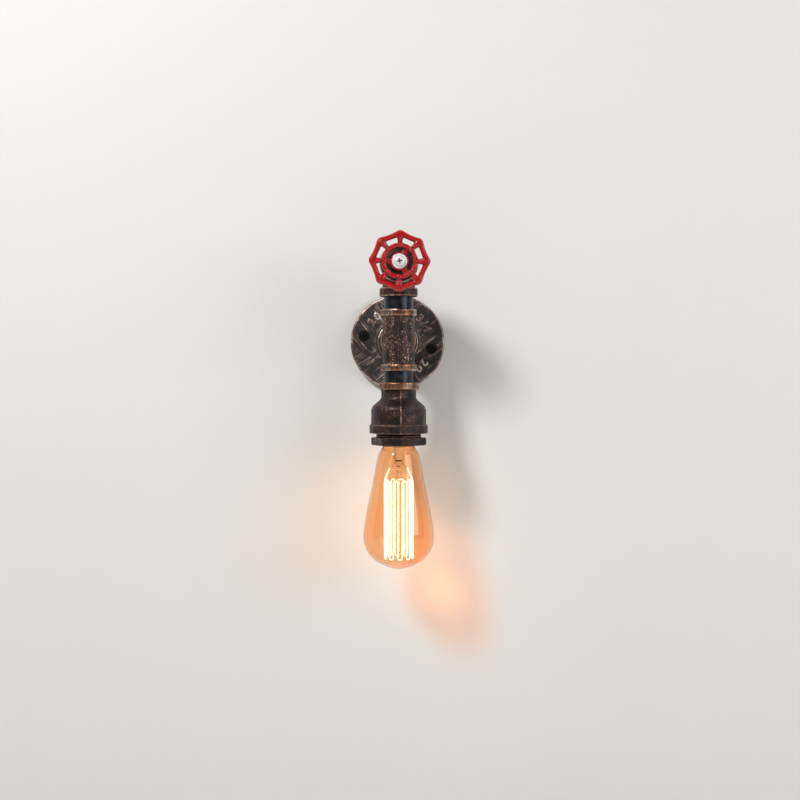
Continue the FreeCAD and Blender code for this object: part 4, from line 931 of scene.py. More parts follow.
@dataclass(frozen=True)
class BrushedPlate:
    """Blue-black casting whose face is dry-brushed with copper and silver streaks."""

    name: str = "flange_antique"
    patina: Colour = (0.045, 0.040, 0.046)
    umber: Colour = (0.080, 0.053, 0.045)
    copper: Colour = (0.62, 0.37, 0.27)
    silver: Colour = (0.70, 0.61, 0.56)
    grain_size: float = 0.8 * MM
    grain_depth: float = 0.12 * MM
    patch_size: float = 10 * MM
    bristle_size: float = 0.9 * MM
    bristle_stretch: Place = (0.05, 1.0, 1.0)
    bristle_depth: float = 0.10 * MM
    bristle_marks: Point2 = (0.53, 0.66)
    brush_turns: tuple[float, float] = (38.0, -52.0)
    stroke_size: float = 34 * MM
    worn: Point2 = (0.60, 0.88)
    brown_patches: Point2 = (0.42, 0.64)
    silver_patches: Point2 = (0.46, 0.60)
    roughness: Point2 = (0.36, 0.52)
    sink_radius: float = 6.1 * MM

    def build(self) -> Material:
        """Build the material.

        Returns:
            The material.
        """
        g = Graph(self.name)
        fine = g.grain(self.grain_size, 3.0, 0.6)
        patches = g.grain(self.patch_size, 4.0, 0.6)
        brushed = [g.between(g.grain(self.bristle_size, 4.0, 0.70, self.bristle_stretch, turn),
                             *self.bristle_marks) for turn in self.brush_turns]
        which = g.between(g.grain(self.stroke_size, 1.0, 0.4), 0.47, 0.53)
        first = g.times(brushed[0], which)
        second = g.times(brushed[1], g.rest_of(which))
        streaks = g.times(g.maths("ADD", first, second),
                          g.between(patches, 0.36, 0.58, 0.12, 1.0))
        edges = g.times(g.between(g.wear(), *self.worn),
                        g.between(patches, 0.40, 0.62, 0.30, 1.0))
        share = g.maths("MAXIMUM", streaks, edges)
        for x, z in screw_holes():
            share = g.times(share, g.rest_of(g.near_axis(x, z, self.sink_radius)))
        coat = g.blend(g.between(patches, *self.brown_patches), self.patina, self.umber)
        metal = g.blend(g.between(patches, *self.silver_patches), self.copper, self.silver)
        g.reveal(share, coat, metal)
        g.set(Roughness=g.between(fine, 0.3, 0.7, *self.roughness))
        g.bump(fine, self.grain_depth)
        g.bump(streaks, self.bristle_depth, 0.6)
        return g.material


@dataclass(frozen=True)
class PipeBlack:
    """Smooth blue-black pipe with faint draw lines round it."""

    name: str = "pipe_black"
    dark: Colour = (0.018, 0.020, 0.027)
    pale: Colour = (0.050, 0.052, 0.062)
    brown: Colour = (0.075, 0.050, 0.036)
    cloud_size: float = 7 * MM
    cloud_depth: float = 0.12 * MM
    line_size: float = 0.5 * MM
    line_stretch: Place = (0.12, 0.12, 1.0)
    line_depth: float = 0.03 * MM
    rust_size: float = 4 * MM
    rust_spots: Point2 = (0.58, 0.74)
    roughness: Point2 = (0.26, 0.42)

    def build(self) -> Material:
        """Build the material.

        Returns:
            The material.
        """
        g = Graph(self.name)
        cloud = g.grain(self.cloud_size, 4.0, 0.6)
        lines = g.grain(self.line_size, 2.0, 0.5, self.line_stretch)
        rust = g.between(g.grain(self.rust_size, 5.0, 0.7), *self.rust_spots)
        tone = g.blend(g.between(cloud, 0.35, 0.7), self.dark, self.pale)
        g.set(Base_Color=g.blend(g.times(rust, 0.6), tone, self.brown),
              Metallic=0.75, Roughness=g.between(cloud, 0.3, 0.7, *self.roughness))
        g.bump(lines, self.line_depth, 0.7)
        g.bump(cloud, self.cloud_depth, 0.5)
        return g.material


@dataclass(frozen=True)
class Enamel:
    """Thick glossy paint over a rough casting."""

    name: str = "enamel_red"
    colour: Colour = (0.44, 0.003, 0.005)
    # Darker red: random lumps, and the shade painted into the casting's hollows.
    deep: Colour = (0.09, 0.001, 0.002)
    coat: float = 0.55
    lump_size: float = 2.6 * MM
    lump_depth: float = 0.22 * MM
    speck_size: float = 0.7 * MM
    speck_depth: float = 0.03 * MM
    # Wear values over which the red goes from full to the painted shade in the hollows.
    crease_shade_wear: Point2 = (0.62, 0.45)
    roughness: Point2 = (0.20, 0.30)

    def build(self) -> Material:
        """Build the material; the red is painted darker from the ridges into the casting's
        hollows, as painted shade.

        Returns:
            The material.
        """
        g = Graph(self.name)
        lumps = g.grain(self.lump_size, 3.0, 0.5)
        specks = g.grain(self.speck_size, 2.0, 0.5)
        # Painted shade: flat and concave places take the darker red, so only the convex ridges
        # keep the full red.
        painted_crease_shade = g.between(g.wear(), *self.crease_shade_wear)
        share = g.maths("MAXIMUM", g.times(painted_crease_shade, 0.75), g.between(lumps, 0.62, 0.85))
        g.set(Base_Color=g.blend(share, self.colour, self.deep),
              Roughness=g.between(specks, 0.3, 0.7, *self.roughness),
              Specular_IOR_Level=0.30, Coat_Weight=self.coat, Coat_Roughness=0.03)
        g.bump(lumps, self.lump_depth, 0.7)
        g.bump(specks, self.speck_depth, 0.5)
        return g.material


@dataclass(frozen=True)
class Plated:
    """Machined or plated metal with turning marks and a few dull spots."""

    name: str
    colour: Colour
    dull: Colour
    roughness: float = 0.28
    mark_size: float = 0.35 * MM
    metallic: float = 1.0
    pit: Place | None = None
    pit_radius: float = 2.9 * MM
    # Dark colour painted into the recess as its shade.
    recess_shade: Colour = (0.020, 0.028, 0.020)
    cloud_size: float = 3.5 * MM
    mark_depth: float = 0.02 * MM
    duller: float = 0.16

    def build(self) -> Material:
        """Build the material; a pit is a point behind which a recess is painted dark, as painted
        shade.

        Returns:
            The material.
        """
        g = Graph(self.name)
        cloud = g.grain(self.cloud_size, 4.0, 0.6)
        marks = g.grain(self.mark_size, 2.0, 0.5)
        colour = g.blend(g.between(cloud, 0.45, 0.75), self.colour, self.dull)
        metallic: object = self.metallic
        if self.pit is not None:
            # Painted shade: the recess behind the pit is coloured dark and loses its metal.
            painted_recess_shade = self.painted_shade_in_pit(g, Vector(self.pit))
            colour = g.blend(painted_recess_shade, colour, self.recess_shade)
            metallic = g.times(g.rest_of(painted_recess_shade), self.metallic)
        g.set(Base_Color=colour, Metallic=metallic,
              Roughness=g.between(cloud, 0.3, 0.75, self.roughness,
                                  self.roughness + self.duller))
        g.bump(marks, self.mark_depth, 0.6)
        return g.material

    def painted_shade_in_pit(self, g: Graph, pit: Vector) -> NodeSocket:
        """Mark the recess that is painted dark, as painted shade.

        Args:
            g: The material's nodes.
            pit: Point on the recess's level axis, where the painted shade starts.

        Returns:
            1 behind the point and near the axis, 0 elsewhere.
        """
        parts = g.node("ShaderNodeSeparateXYZ")
        g.join(g.place, parts.inputs[0])
        behind = g.between(parts.outputs[1], pit.y, pit.y + SOFT_EDGE)
        return g.times(g.near_axis(pit.x, pit.z, self.pit_radius), behind)


@dataclass(frozen=True)
class Moulding:
    """Plastic, rubber, black glass or glazed porcelain: no metal."""

    name: str
    colour: Colour
    second: Colour
    roughness: float = 0.45
    coat: float = 0.0
    size: float = 2.5 * MM
    depth: float = 0.03 * MM
    duller: float = 0.12

    def build(self) -> Material:
        """Build the material.

        Returns:
            The material.
        """
        g = Graph(self.name)
        cloud = g.grain(self.size, 4.0, 0.6)
        g.set(Base_Color=g.blend(g.between(cloud, 0.42, 0.7), self.colour, self.second),
              Roughness=g.between(cloud, 0.3, 0.7, self.roughness,
                                  self.roughness + self.duller),
              Coat_Weight=self.coat)
        g.bump(cloud, self.depth)
        return g.material


@dataclass(frozen=True)
class StripedInsulation:
    """Green insulation with a yellow stripe, as on an earth lead."""

    name: str = "wire_earth"
    green: Colour = (0.05, 0.30, 0.04)
    yellow: Colour = (0.75, 0.60, 0.03)
    stripes: float = 140.0
    waviness: float = 1.2
    grain_size: float = 2.0 * MM
    grain_depth: float = 0.02 * MM

    def build(self) -> Material:
        """Build the material.

        Returns:
            The material.
        """
        g = Graph(self.name)
        stripe = g.node("ShaderNodeTexWave", wave_type="BANDS", bands_direction="DIAGONAL")
        g.join(g.place, stripe.inputs["Vector"])
        stripe.inputs["Scale"].default_value = self.stripes
        stripe.inputs["Distortion"].default_value = self.waviness
        edge = g.between(stripe.outputs["Fac"], 0.46, 0.54)
        cloud = g.grain(self.grain_size)
        g.set(Base_Color=g.blend(edge, self.green, self.yellow),
              Roughness=g.between(cloud, 0.3, 0.7, 0.38, 0.5))
        g.bump(cloud, self.grain_depth)
        return g.material


@dataclass(frozen=True)
class ClearGlass:
    """Clear or tinted blown glass; light from lamps passes through it."""

    name: str
    tint: Colour
    roughness: float = 0.02
    index: float = 1.45
    ripple: float = 0.05 * MM
    ripple_size: float = 14 * MM
    ripple_stretch: Place = (1.0, 1.0, 0.35)
    haze_size: float = 20 * MM
    haze_power: float = 1.25
    shade_power: float = 0.8

    def build(self) -> Material:
        """Build the material.

        Returns:
            The material.
        """
        g = Graph(self.name)
        wave = g.grain(self.ripple_size, 2.0, 0.4, self.ripple_stretch)
        haze = g.between(g.grain(self.haze_size, 3.0, 0.5), 0.35, 0.7)
        deep = tuple(channel ** self.haze_power for channel in self.tint)
        g.set(Base_Color=g.blend(haze, self.tint, deep), Roughness=self.roughness,
              Transmission_Weight=1.0, IOR=self.index)
        g.bump(wave, self.ripple, 0.6)
        g.clear_where(g.node("ShaderNodeLightPath").outputs["Is Shadow Ray"],
                      tuple(channel ** self.shade_power for channel in self.tint))
        return g.material


@dataclass(frozen=True)
class Glow:
    """Incandescent filament, a little hotter in places."""

    name: str = "filament_glow"
    cool: Colour = (1.0, 0.84, 0.64)
    hot: Colour = (1.0, 0.94, 0.84)
    strength: float = 4.0
    carbon: Colour = (0.9, 0.7, 0.4)
    heat_size: float = 6 * MM
    grain_size: float = 0.5 * MM
    grain_depth: float = 0.02 * MM

    def build(self) -> Material:
        """Build the material.

        Returns:
            The material.
        """
        g = Graph(self.name)
        heat = g.between(g.grain(self.heat_size, 3.0, 0.5), 0.3, 0.7)
        g.set(Base_Color=self.carbon, Roughness=0.6,
              Emission_Color=g.blend(heat, self.cool, self.hot),
              Emission_Strength=self.strength)
        g.bump(g.grain(self.grain_size), self.grain_depth)
        return g.material


class Finishes:
    """Every finish of the light, built once and looked up by slot."""

    def __init__(self) -> None:
        """Build the finishes under their slot names."""
        steel, brass = (0.50, 0.51, 0.53), (0.72, 0.47, 0.16)
        smooth = AntiqueIron("antique_iron_smooth", (0.010, 0.009, 0.011),
                             (0.050, 0.021, 0.012), speckle=0.22)
        self.by_slot: dict[str, Material] = {
            "cast_iron_antique": AntiqueIron().build(), "cast_iron_smooth": smooth.build()}
        for finish in (
                BrushedPlate(), PipeBlack(),
                Plated("screw_black", (0.013, 0.013, 0.014), (0.006, 0.006, 0.007), 0.22,
                       metallic=0.5),
                Enamel(),
                # The screw's cross recess gets painted shade.
                Plated("zinc_bright", (0.95, 0.96, 0.97), (0.86, 0.88, 0.90), 0.34,
                       metallic=0.45, pit=screw_pit()),
                Plated("steel_plain", steel, (0.32, 0.31, 0.30)),
                Plated("brass", brass, (0.45, 0.27, 0.10)),
                Plated("cap_brass", (0.78, 0.58, 0.28), brass, 0.2),
                Plated("solder", (0.60, 0.60, 0.58), (0.35, 0.35, 0.34), 0.4),
                Plated("nickel_wire", (0.62, 0.58, 0.52), steel, 0.25),
                Moulding("porcelain", (0.84, 0.82, 0.76), (0.74, 0.71, 0.63), 0.16, coat=0.5),
                Moulding("black_insulator", (0.012, 0.010, 0.016), (0.03, 0.02, 0.04), 0.08,
                         coat=0.4),
                Moulding("block_plastic", (0.78, 0.77, 0.71), (0.68, 0.66, 0.58)),
                Moulding("bush_plastic", (0.020, 0.020, 0.021), (0.05, 0.05, 0.05), 0.6),
                Moulding("wire_line", (0.16, 0.055, 0.02), (0.10, 0.035, 0.015), 0.36),
                Moulding("wire_neutral", (0.02, 0.09, 0.42), (0.015, 0.06, 0.30), 0.36),
                StripedInsulation(),
                ClearGlass("bulb_glass", (0.975, 0.71, 0.49)),
                ClearGlass("mount_glass", (0.99, 0.98, 0.96), 0.12),
                Glow()):
            self.by_slot[finish.name] = finish.build()

    def dress(self, piece: Object, slot: str) -> None:
        """Give a piece one finish all over."""
        piece.data.materials.clear()
        piece.data.materials.append(self.by_slot[slot])


# ------------------------------------------------------------------ sub-assembly
@dataclass
class Assembly:
    """Base of every sub-assembly: its finishes, and its pieces' way to the frame."""

    finishes: Finishes
    made: list[str] = field(default_factory=list)

    def hand_over(self, piece: Object, body: str, slot: str, *nodes: str,
                  finish: str | None = None) -> Object:
        """Finish a piece, let it ride on its body and stand for its nodes.

        Args:
            piece: The piece, with its place in its mesh.
            body: Name of the body it moves with.
            slot: Slot of its finish.
            *nodes: CAD nodes that it stands for.
            finish: A variant of the slot's finish.

        Returns:
            The piece.
        """
        self.finishes.dress(piece, finish or slot)
        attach(piece, body)
        if nodes:
            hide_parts(*nodes)
        self.made.append(piece.name)
        return piece

    def finish_nodes(self, slots: dict[str, str]) -> None:
        """Give CAD nodes that keep their shape a finish.

        Args:
            slots: Slot of each node's finish.
        """
        for node, slot in slots.items():
            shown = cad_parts[node]
            for index in range(len(shown.material_slots)):
                shown.material_slots[index].material = self.finishes.by_slot[slot]
            self.made.append(node)


@dataclass
class PipeRun(Assembly):
    """Tee, elbow and the three short pipes."""

    body_radius: float = 14.75 * MM
    branch_radius: float = 14.5 * MM
    bore_radius: float = 10.5 * MM
    branch_bore: float = 10.2 * MM
    socket_depth: float = 13.0 * MM
    tee_band_width: float = 6.4 * MM
    elbow_band_width: float = 8.0 * MM
    band_round: float = 1.1 * MM
    bend_radius: float = 15.0 * MM
    seam_width: float = 0.9 * MM
    seam_height: float = 0.14 * MM
    seam_x: float = -0.5 * MM
    half_shift: float = 0.16 * MM
    band_margin: float = 0.3 * MM
    pipe_chamfer: float = 0.5 * MM
    bore_chamfer: float = 0.3 * MM
    voxel: float = 0.55 * MM
    tee_sand: SandMould = SandMould(0.22 * MM, 6 * MM, 3.1)
    elbow_sand: SandMould = SandMould(0.22 * MM, 6 * MM, 8.3)

    def band(self, node: str, low: float, high: float, centre: Vector, axis: Axis) -> Object:
        """Raised ring at a fitting's end, with rounded shoulders.

        Args:
            node: The fitting, which is as wide as its band.
            low: Where the band starts along its axis.
            high: Where it ends.
            centre: A point on its axis.
            axis: Which way the axis points.

        Returns:
            The closed ring, solid to its axis.
        """
        radius = width(node) / 2
        corners = [(0.0, low, 0.0), (radius, low, self.band_round),
                   (radius, high, self.band_round), (0.0, high, 0.0)]
        return turned("band", rounded_profile(corners), centre, axis, 96)

    def tee(self) -> Object:
        """Tee with softened crotches, mould seam and machined sockets.

        Returns:
            The piece.
        """
        centre = middle("upper_nipple")
        low, high = ends("tee", 2)
        back = ends("tee", 1)[1]
        branch = middle("branch_nipple")
        shapes = [rod("run", self.body_radius, low, high, centre, Axis.UP),
                  rod("branch", self.branch_radius, centre.y, back, branch, Axis.LEVEL),
                  self.band("tee", high - self.tee_band_width, high, centre, Axis.UP),
                  self.band("tee", low, low + self.tee_band_width, centre, Axis.UP),
                  self.band("tee", back - self.tee_band_width, back, branch, Axis.LEVEL)]
        tee = cast(merged("tee_casting", shapes), self.voxel, 3)
        self.add_seam(tee, centre)
        self.tee_sand.press(tee)
        mark_wear(tee, 2, 4.0, Handled(centre, self.body_radius + self.band_margin))
        socket, depth, past = socket_radius("upper_nipple"), self.socket_depth, CUTTER_PAST
        bore = [(0.0, low - past), (socket, low - past), (socket, low + depth),
                (self.bore_radius, low + depth), (self.bore_radius, high - depth),
                (socket, high - depth), (socket, high + past), (0.0, high + past)]
        side = [(0.0, centre.y), (self.branch_bore, centre.y),
                (self.branch_bore, back - depth), (socket, back - depth),
                (socket, back + past), (0.0, back + past)]
        combined(tee, Combine.CUT, [
            turned("bore", bore, centre, Axis.UP, 64, COARSE),
            turned("side_bore", side, branch, Axis.LEVEL, 64, COARSE)])
        shade(tee)
        return self.hand_over(tee, "root", "cast_iron_antique", "tee")

    def add_seam(self, piece: Object, centre: Vector) -> None:
        """Raise the mould seam and shift one half a little against the other.

        Args:
            piece: The casting.
            centre: A point on its axis.
        """
        for vertex in piece.data.vertices:
            off = vertex.co.x - self.seam_x
            ridge = math.exp(-(off / (self.seam_width / 2)) ** 2)
            shift = -self.half_shift if off < 0 else 0.0
            out = Vector((vertex.co.x - centre.x, min(vertex.co.y - centre.y, 0.0), 0.0))
            if out.length > self.bore_radius and out.y < -0.3 * out.length:
                vertex.co += out.normalized() * (ridge * self.seam_height + shift)

    def elbow(self) -> Object:
        """Elbow turned forward to the wheel.

        Returns:
            The piece.
        """
        centre, front_axis = middle("upper_nipple"), middle("stem_plug")
        low, front = ends("elbow", 2)[0], ends("elbow", 1)[0]
        bend_z = front_axis.z - self.bend_radius
        bend_y = centre.y - self.bend_radius
        shapes = [rod("leg", self.body_radius, low, bend_z, centre, Axis.UP),
                  rod("nose", self.body_radius, front, bend_y, front_axis, Axis.LEVEL),
                  self.band("elbow", low, low + self.elbow_band_width, centre, Axis.UP),
                  self.band("elbow", front, front + self.elbow_band_width, front_axis,
                            Axis.LEVEL),
                  self.quarter(Vector((centre.x, bend_y, bend_z)))]
        elbow = cast(merged("elbow_casting", shapes), self.voxel, 3)
        self.elbow_sand.press(elbow)
        mark_wear(elbow, 2)
        socket, depth, past = socket_radius("upper_nipple"), self.socket_depth, CUTTER_PAST
        combined(elbow, Combine.CUT, [
            rod("leg_bore", socket, low - past, low + depth, centre, Axis.UP),
            rod("nose_bore", socket, front - past, front + depth, front_axis, Axis.LEVEL)])
        shade(elbow)
        return self.hand_over(elbow, "root", "cast_iron_antique", "elbow",
                              finish="cast_iron_smooth")

    def quarter(self, hinge: Vector) -> Object:
        """Quarter bend from upright to level.

        Args:
            hinge: Point of the line along X that it bends about.

        Returns:
            The closed bend.
        """
        steps, around = 32, 96
        vertices, faces = [], []
        for step in range(steps + 1):
            swing = math.pi / 2 * step / steps
            out = Vector((0.0, math.cos(swing), math.sin(swing)))
            ring = hinge + out * self.bend_radius
            for index in range(around):
                angle = 2 * math.pi * index / around
                vertices.append(ring + Vector((self.body_radius * math.cos(angle), 0, 0))
                                + out * (self.body_radius * math.sin(angle)))
        for step in range(steps):
            for index in range(around):
                after = (index + 1) % around
                first, second = step * around, (step + 1) * around
                faces.append((first + index, first + after, second + after, second + index))
        faces.append(tuple(range(around)))
        faces.append(tuple(range(steps * around, (steps + 1) * around)))
        return face_outward(mesh_object("quarter", vertices, faces))

    def nipple(self, node: str, axis: Axis) -> Object:
        """Short pipe with chamfered ends.

        Args:
            node: CAD node that it stands for.
            axis: Which way the pipe runs.

        Returns:
            The piece.
        """
        low, high = ends(node, 2 if axis is Axis.UP else 1)
        outer, chamfer, inner = width(node) / 2, self.pipe_chamfer, self.bore_chamfer
        corners = [(self.bore_radius, low, inner), (outer, low, chamfer),
                   (outer, high, chamfer), (self.bore_radius, high, inner)]
        pipe = turned(node + "_pipe", rounded_profile(corners), middle(node), axis, 128)
        mark_wear(pipe)
        shade(pipe)
        return self.hand_over(pipe, "root", "pipe_black", node)

    def build(self) -> None:
        """Build the whole run."""
        self.tee()
        self.elbow()
        for node, axis in (("upper_nipple", Axis.UP), ("lower_nipple", Axis.UP),
                           ("branch_nipple", Axis.LEVEL)):
            self.nipple(node, axis)


@dataclass
class LampHead(Assembly):
    """Bell reducer and hexagon bushing round the lampholder."""

    top_band: float = 6.5 * MM
    low_band: float = 8.1 * MM
    neck_radius: float = 14.9 * MM
    neck_end: float = 14.7 * MM
    shoulder: float = 22.6 * MM
    bell_radius: float = 24.1 * MM
    stop: float = 2.0 * MM
    cavity_radius: float = 20.3 * MM
    cavity_start: float = 25.0 * MM
    socket_depth: float = 13.0 * MM
    mouth_depth: float = 14.0 * MM
    seam_x: float = 1.7 * MM
    seam_width: float = 0.5 * MM
    seam_height: float = 0.40 * MM
    hex_turn: float = -8.6
    flats: float = 43.8 * MM
    collar: float = 3.7 * MM
    nut_chamfer: float = 1.2 * MM
    nut_slope: float = 0.8 * MM
    nut_edge: float = 0.35 * MM
    nut_bore_play: float = 0.3 * MM
    thread_radius: float = 20.75 * MM
    thread_depth: float = 0.9 * MM
    thread_pitch: float = 2.3 * MM
    thread_crest: tuple[float, float] = (0.45, 0.60)
    rib_angles: tuple[float, ...] = (2.0, 182.0)
    rib_height: float = 0.9 * MM
    rib_width: float = 1.6 * MM
    band_wall: float = 5.25 * MM
    pipe_wall: float = 2.7 * MM
    mouth_wall: float = 5.65 * MM
    run: float = 0.8 * MM
    sand: SandMould = SandMould(0.16 * MM, 7 * MM, 5.7)

    def outline(self) -> list[Point2]:
        """Outer and inner outline of the reducer, from the top band inward.

        Returns:
            The outline's points in order.
        """
        low, top = ends("bell_reducer", 2)
        socket, pipe = socket_radius("lower_nipple"), width("lower_nipple") / 2
        band, bore = pipe + self.band_wall, pipe - self.pipe_wall
        wide = width("bell_reducer") / 2
        mouth = wide - self.mouth_wall
        seat = top - self.socket_depth
        corners = [(socket, top, 0.4 * MM), (band, top, 1.0 * MM),
                   (band, top - self.top_band, 1.0 * MM),
                   (self.neck_radius, top - self.top_band, 1.0 * MM),
                   (self.neck_radius, top - self.neck_end, 5.0 * MM),
                   (self.bell_radius, top - self.shoulder, 6.0 * MM),
                   (self.bell_radius, low + self.low_band, 0.8 * MM),
                   (wide, low + self.low_band, 1.2 * MM), (wide, low, 1.0 * MM),
                   (mouth, low, 0.5 * MM), (mouth, low + self.mouth_depth, 0.0),
                   (self.cavity_radius, low + self.mouth_depth, 0.0),
                   (self.cavity_radius, top - self.cavity_start, 1.0 * MM),
                   (bore, seat - self.stop, 0.0), (bore, seat, 0.0), (socket, seat, 0.0)]
        return rounded_profile(corners, 7)

    def reducer(self) -> Object:
        """Bell reducer with two low ribs, a mould seam and cast unevenness.

        Returns:
            The piece.
        """
        centre = middle("lower_nipple")
        body = turned("bell_reducer_casting", self.outline(), centre, Axis.UP, 192, self.run)
        low, top = ends("bell_reducer", 2)
        self.raise_ribs(body, centre, low + self.low_band, top)
        self.sand.press(body)
        mark_wear(body, 2, 4.0)
        self.rub(body, centre, top - self.top_band)
        shade(body)
        return self.hand_over(body, "root", "cast_iron_antique", "bell_reducer",
                              finish="cast_iron_smooth")

    def raise_ribs(self, body: Object, centre: Vector, low: float, top: float) -> None:
        """Raise the ribs and the front seam between the bands.

        Args:
            body: The reducer as turned.
            centre: A point on its axis.
            low: Upper edge of the wide band.
            top: The reducer's upper end.
        """
        for vertex in body.data.vertices:
            place = vertex.co
            out = Vector((place.x - centre.x, place.y - centre.y, 0.0))
            skin = self.skin_at(place.z, top)
            if (not low - 1e-4 < place.z < top - self.top_band
                    or out.length < skin - 0.3 * MM):
                continue
            lift = 0.0
            for angle in self.rib_angles:
                way = math.radians(angle)
                side = abs(out.x * math.sin(way) - out.y * math.cos(way))
                if out.x * math.cos(way) + out.y * math.sin(way) > 0:
                    lift = max(lift, self.rib_height
                               * math.exp(-(side / self.rib_width) ** 4))
            if out.y < 0:
                off = (out.x - self.seam_x) / self.seam_width
                lift = max(lift, self.seam_height * math.exp(-off ** 2))
            vertex.co += out.normalized() * lift
        body.data.update()

    def rub(self, body: Object, centre: Vector, low: float) -> None:
        """Wear the narrow end's band and the front seam all over.

        Args:
            body: The reducer, with its edges marked.
            centre: A point on its axis.
            low: Lower edge of the band.
        """
        places = edge_arrays(body.data)[0]
        band = Handled(centre, self.neck_radius + 1.5 * MM).share(places)
        band = np.where(places[:, 2] > low - 0.5 * MM, band, 0.0)
        off = (places[:, 0] - self.seam_x) / self.seam_width
        seam = np.where(places[:, 1] < centre.y, 0.17 * np.exp(-off ** 2), 0.0)
        add_wear(body, band + seam)

    def skin_at(self, z: float, top: float) -> float:
        """Outer radius of the reducer between its bands.

        Args:
            z: Height.
            top: The reducer's upper end.

        Returns:
            The radius, or a little less on the rounded shoulder.
        """
        down = top - z
        if down < self.neck_end:
            return self.neck_radius
        if down > self.shoulder:
            return self.bell_radius
        share = (down - self.neck_end) / (self.shoulder - self.neck_end)
        return self.neck_radius + share * (self.bell_radius - self.neck_radius) - 0.8 * MM

    def bushing(self) -> Object:
        """Hexagon with chamfered corners, bare thread above it and a bore.

        Returns:
            The piece.
        """
        centre = middle("lower_nipple")
        low, high = ends("hex_bushing", 2)
        hex_top = ends("bell_reducer", 2)[0] - self.collar
        reach = self.flats / 2 / math.cos(math.radians(30))
        narrow, slope = reach - self.nut_chamfer, self.nut_slope
        nut = turned("nut", [(0.0, low), (narrow, low), (reach, low + slope),
                             (reach, hex_top - slope), (narrow, hex_top), (0.0, hex_top)],
                     centre, Axis.UP, 180, 2 * MM)
        sides = []
        for index in range(6):
            angle = math.radians(60 * index + 30 + self.hex_turn)
            way = Vector((math.cos(angle), math.sin(angle), 0))
            near = Vector((centre.x, centre.y, (low + hex_top) / 2)) + way * (self.flats / 2)
            sides.append(bar("side", near, near + way * 12 * MM, (30 * MM, 30 * MM), Bar.SQUARE))
        combined(nut, Combine.CUT, sides)
        bevel = nut.modifiers.new("break edges", "BEVEL")
        bevel.width, bevel.segments, bevel.limit_method = self.nut_edge, 2, "ANGLE"
        bevel.angle_limit = math.radians(25)
        applied(nut)
        combined(nut, Combine.JOIN, [
            turned("screwed", self.thread(hex_top, high), centre, Axis.UP, 128, 1 * MM)])
        bore = width("lampholder_body") / 2 + self.nut_bore_play
        combined(nut, Combine.CUT, [rod("bore", bore, low - CUTTER_PAST, high + CUTTER_PAST,
                                        centre, Axis.UP, COARSE)])
        nut.name = "hex_bushing_nut"
        self.even_out(nut)
        shade(nut, 25)
        return self.hand_over(nut, "root", "cast_iron_antique", "hex_bushing",
                              finish="cast_iron_smooth")

    def thread(self, low: float, high: float) -> list[Point2]:
        """Outline of the bare thread, as rings.

        Args:
            low: Top of the hexagon.
            high: Top of the thread.

        Returns:
            (radius, height) points from axis to axis.
        """
        outer, root = self.thread_radius, self.thread_radius - self.thread_depth
        first, second = self.thread_crest
        points = [(0.0, low - 0.5 * MM)]
        for index in range(int((high - low) / self.thread_pitch)):
            start = low + index * self.thread_pitch
            points += [(root, start), (outer, start + first * self.thread_pitch),
                       (outer, start + second * self.thread_pitch)]
        return points + [(root, high), (0.0, high)]

    def even_out(self, piece: Object) -> None:
        """Divide the long faces, so that the wear marks have points to sit on.

        Args:
            piece: The bushing.
        """
        work = bmesh.new()
        work.from_mesh(piece.data)
        bmesh.ops.triangulate(work, faces=work.faces)
        for _ in range(3):
            long_edges = [edge for edge in work.edges if edge.calc_length() > 1.6 * MM]
            if not long_edges:
                break
            bmesh.ops.subdivide_edges(work, edges=long_edges, cuts=1)
            bmesh.ops.triangulate(work, faces=work.faces)
        work.to_mesh(piece.data)
        work.free()
        mark_wear(piece, 1, 3.0)

    def build(self) -> None:
        """Build the head."""
        self.reducer()
        self.bushing()


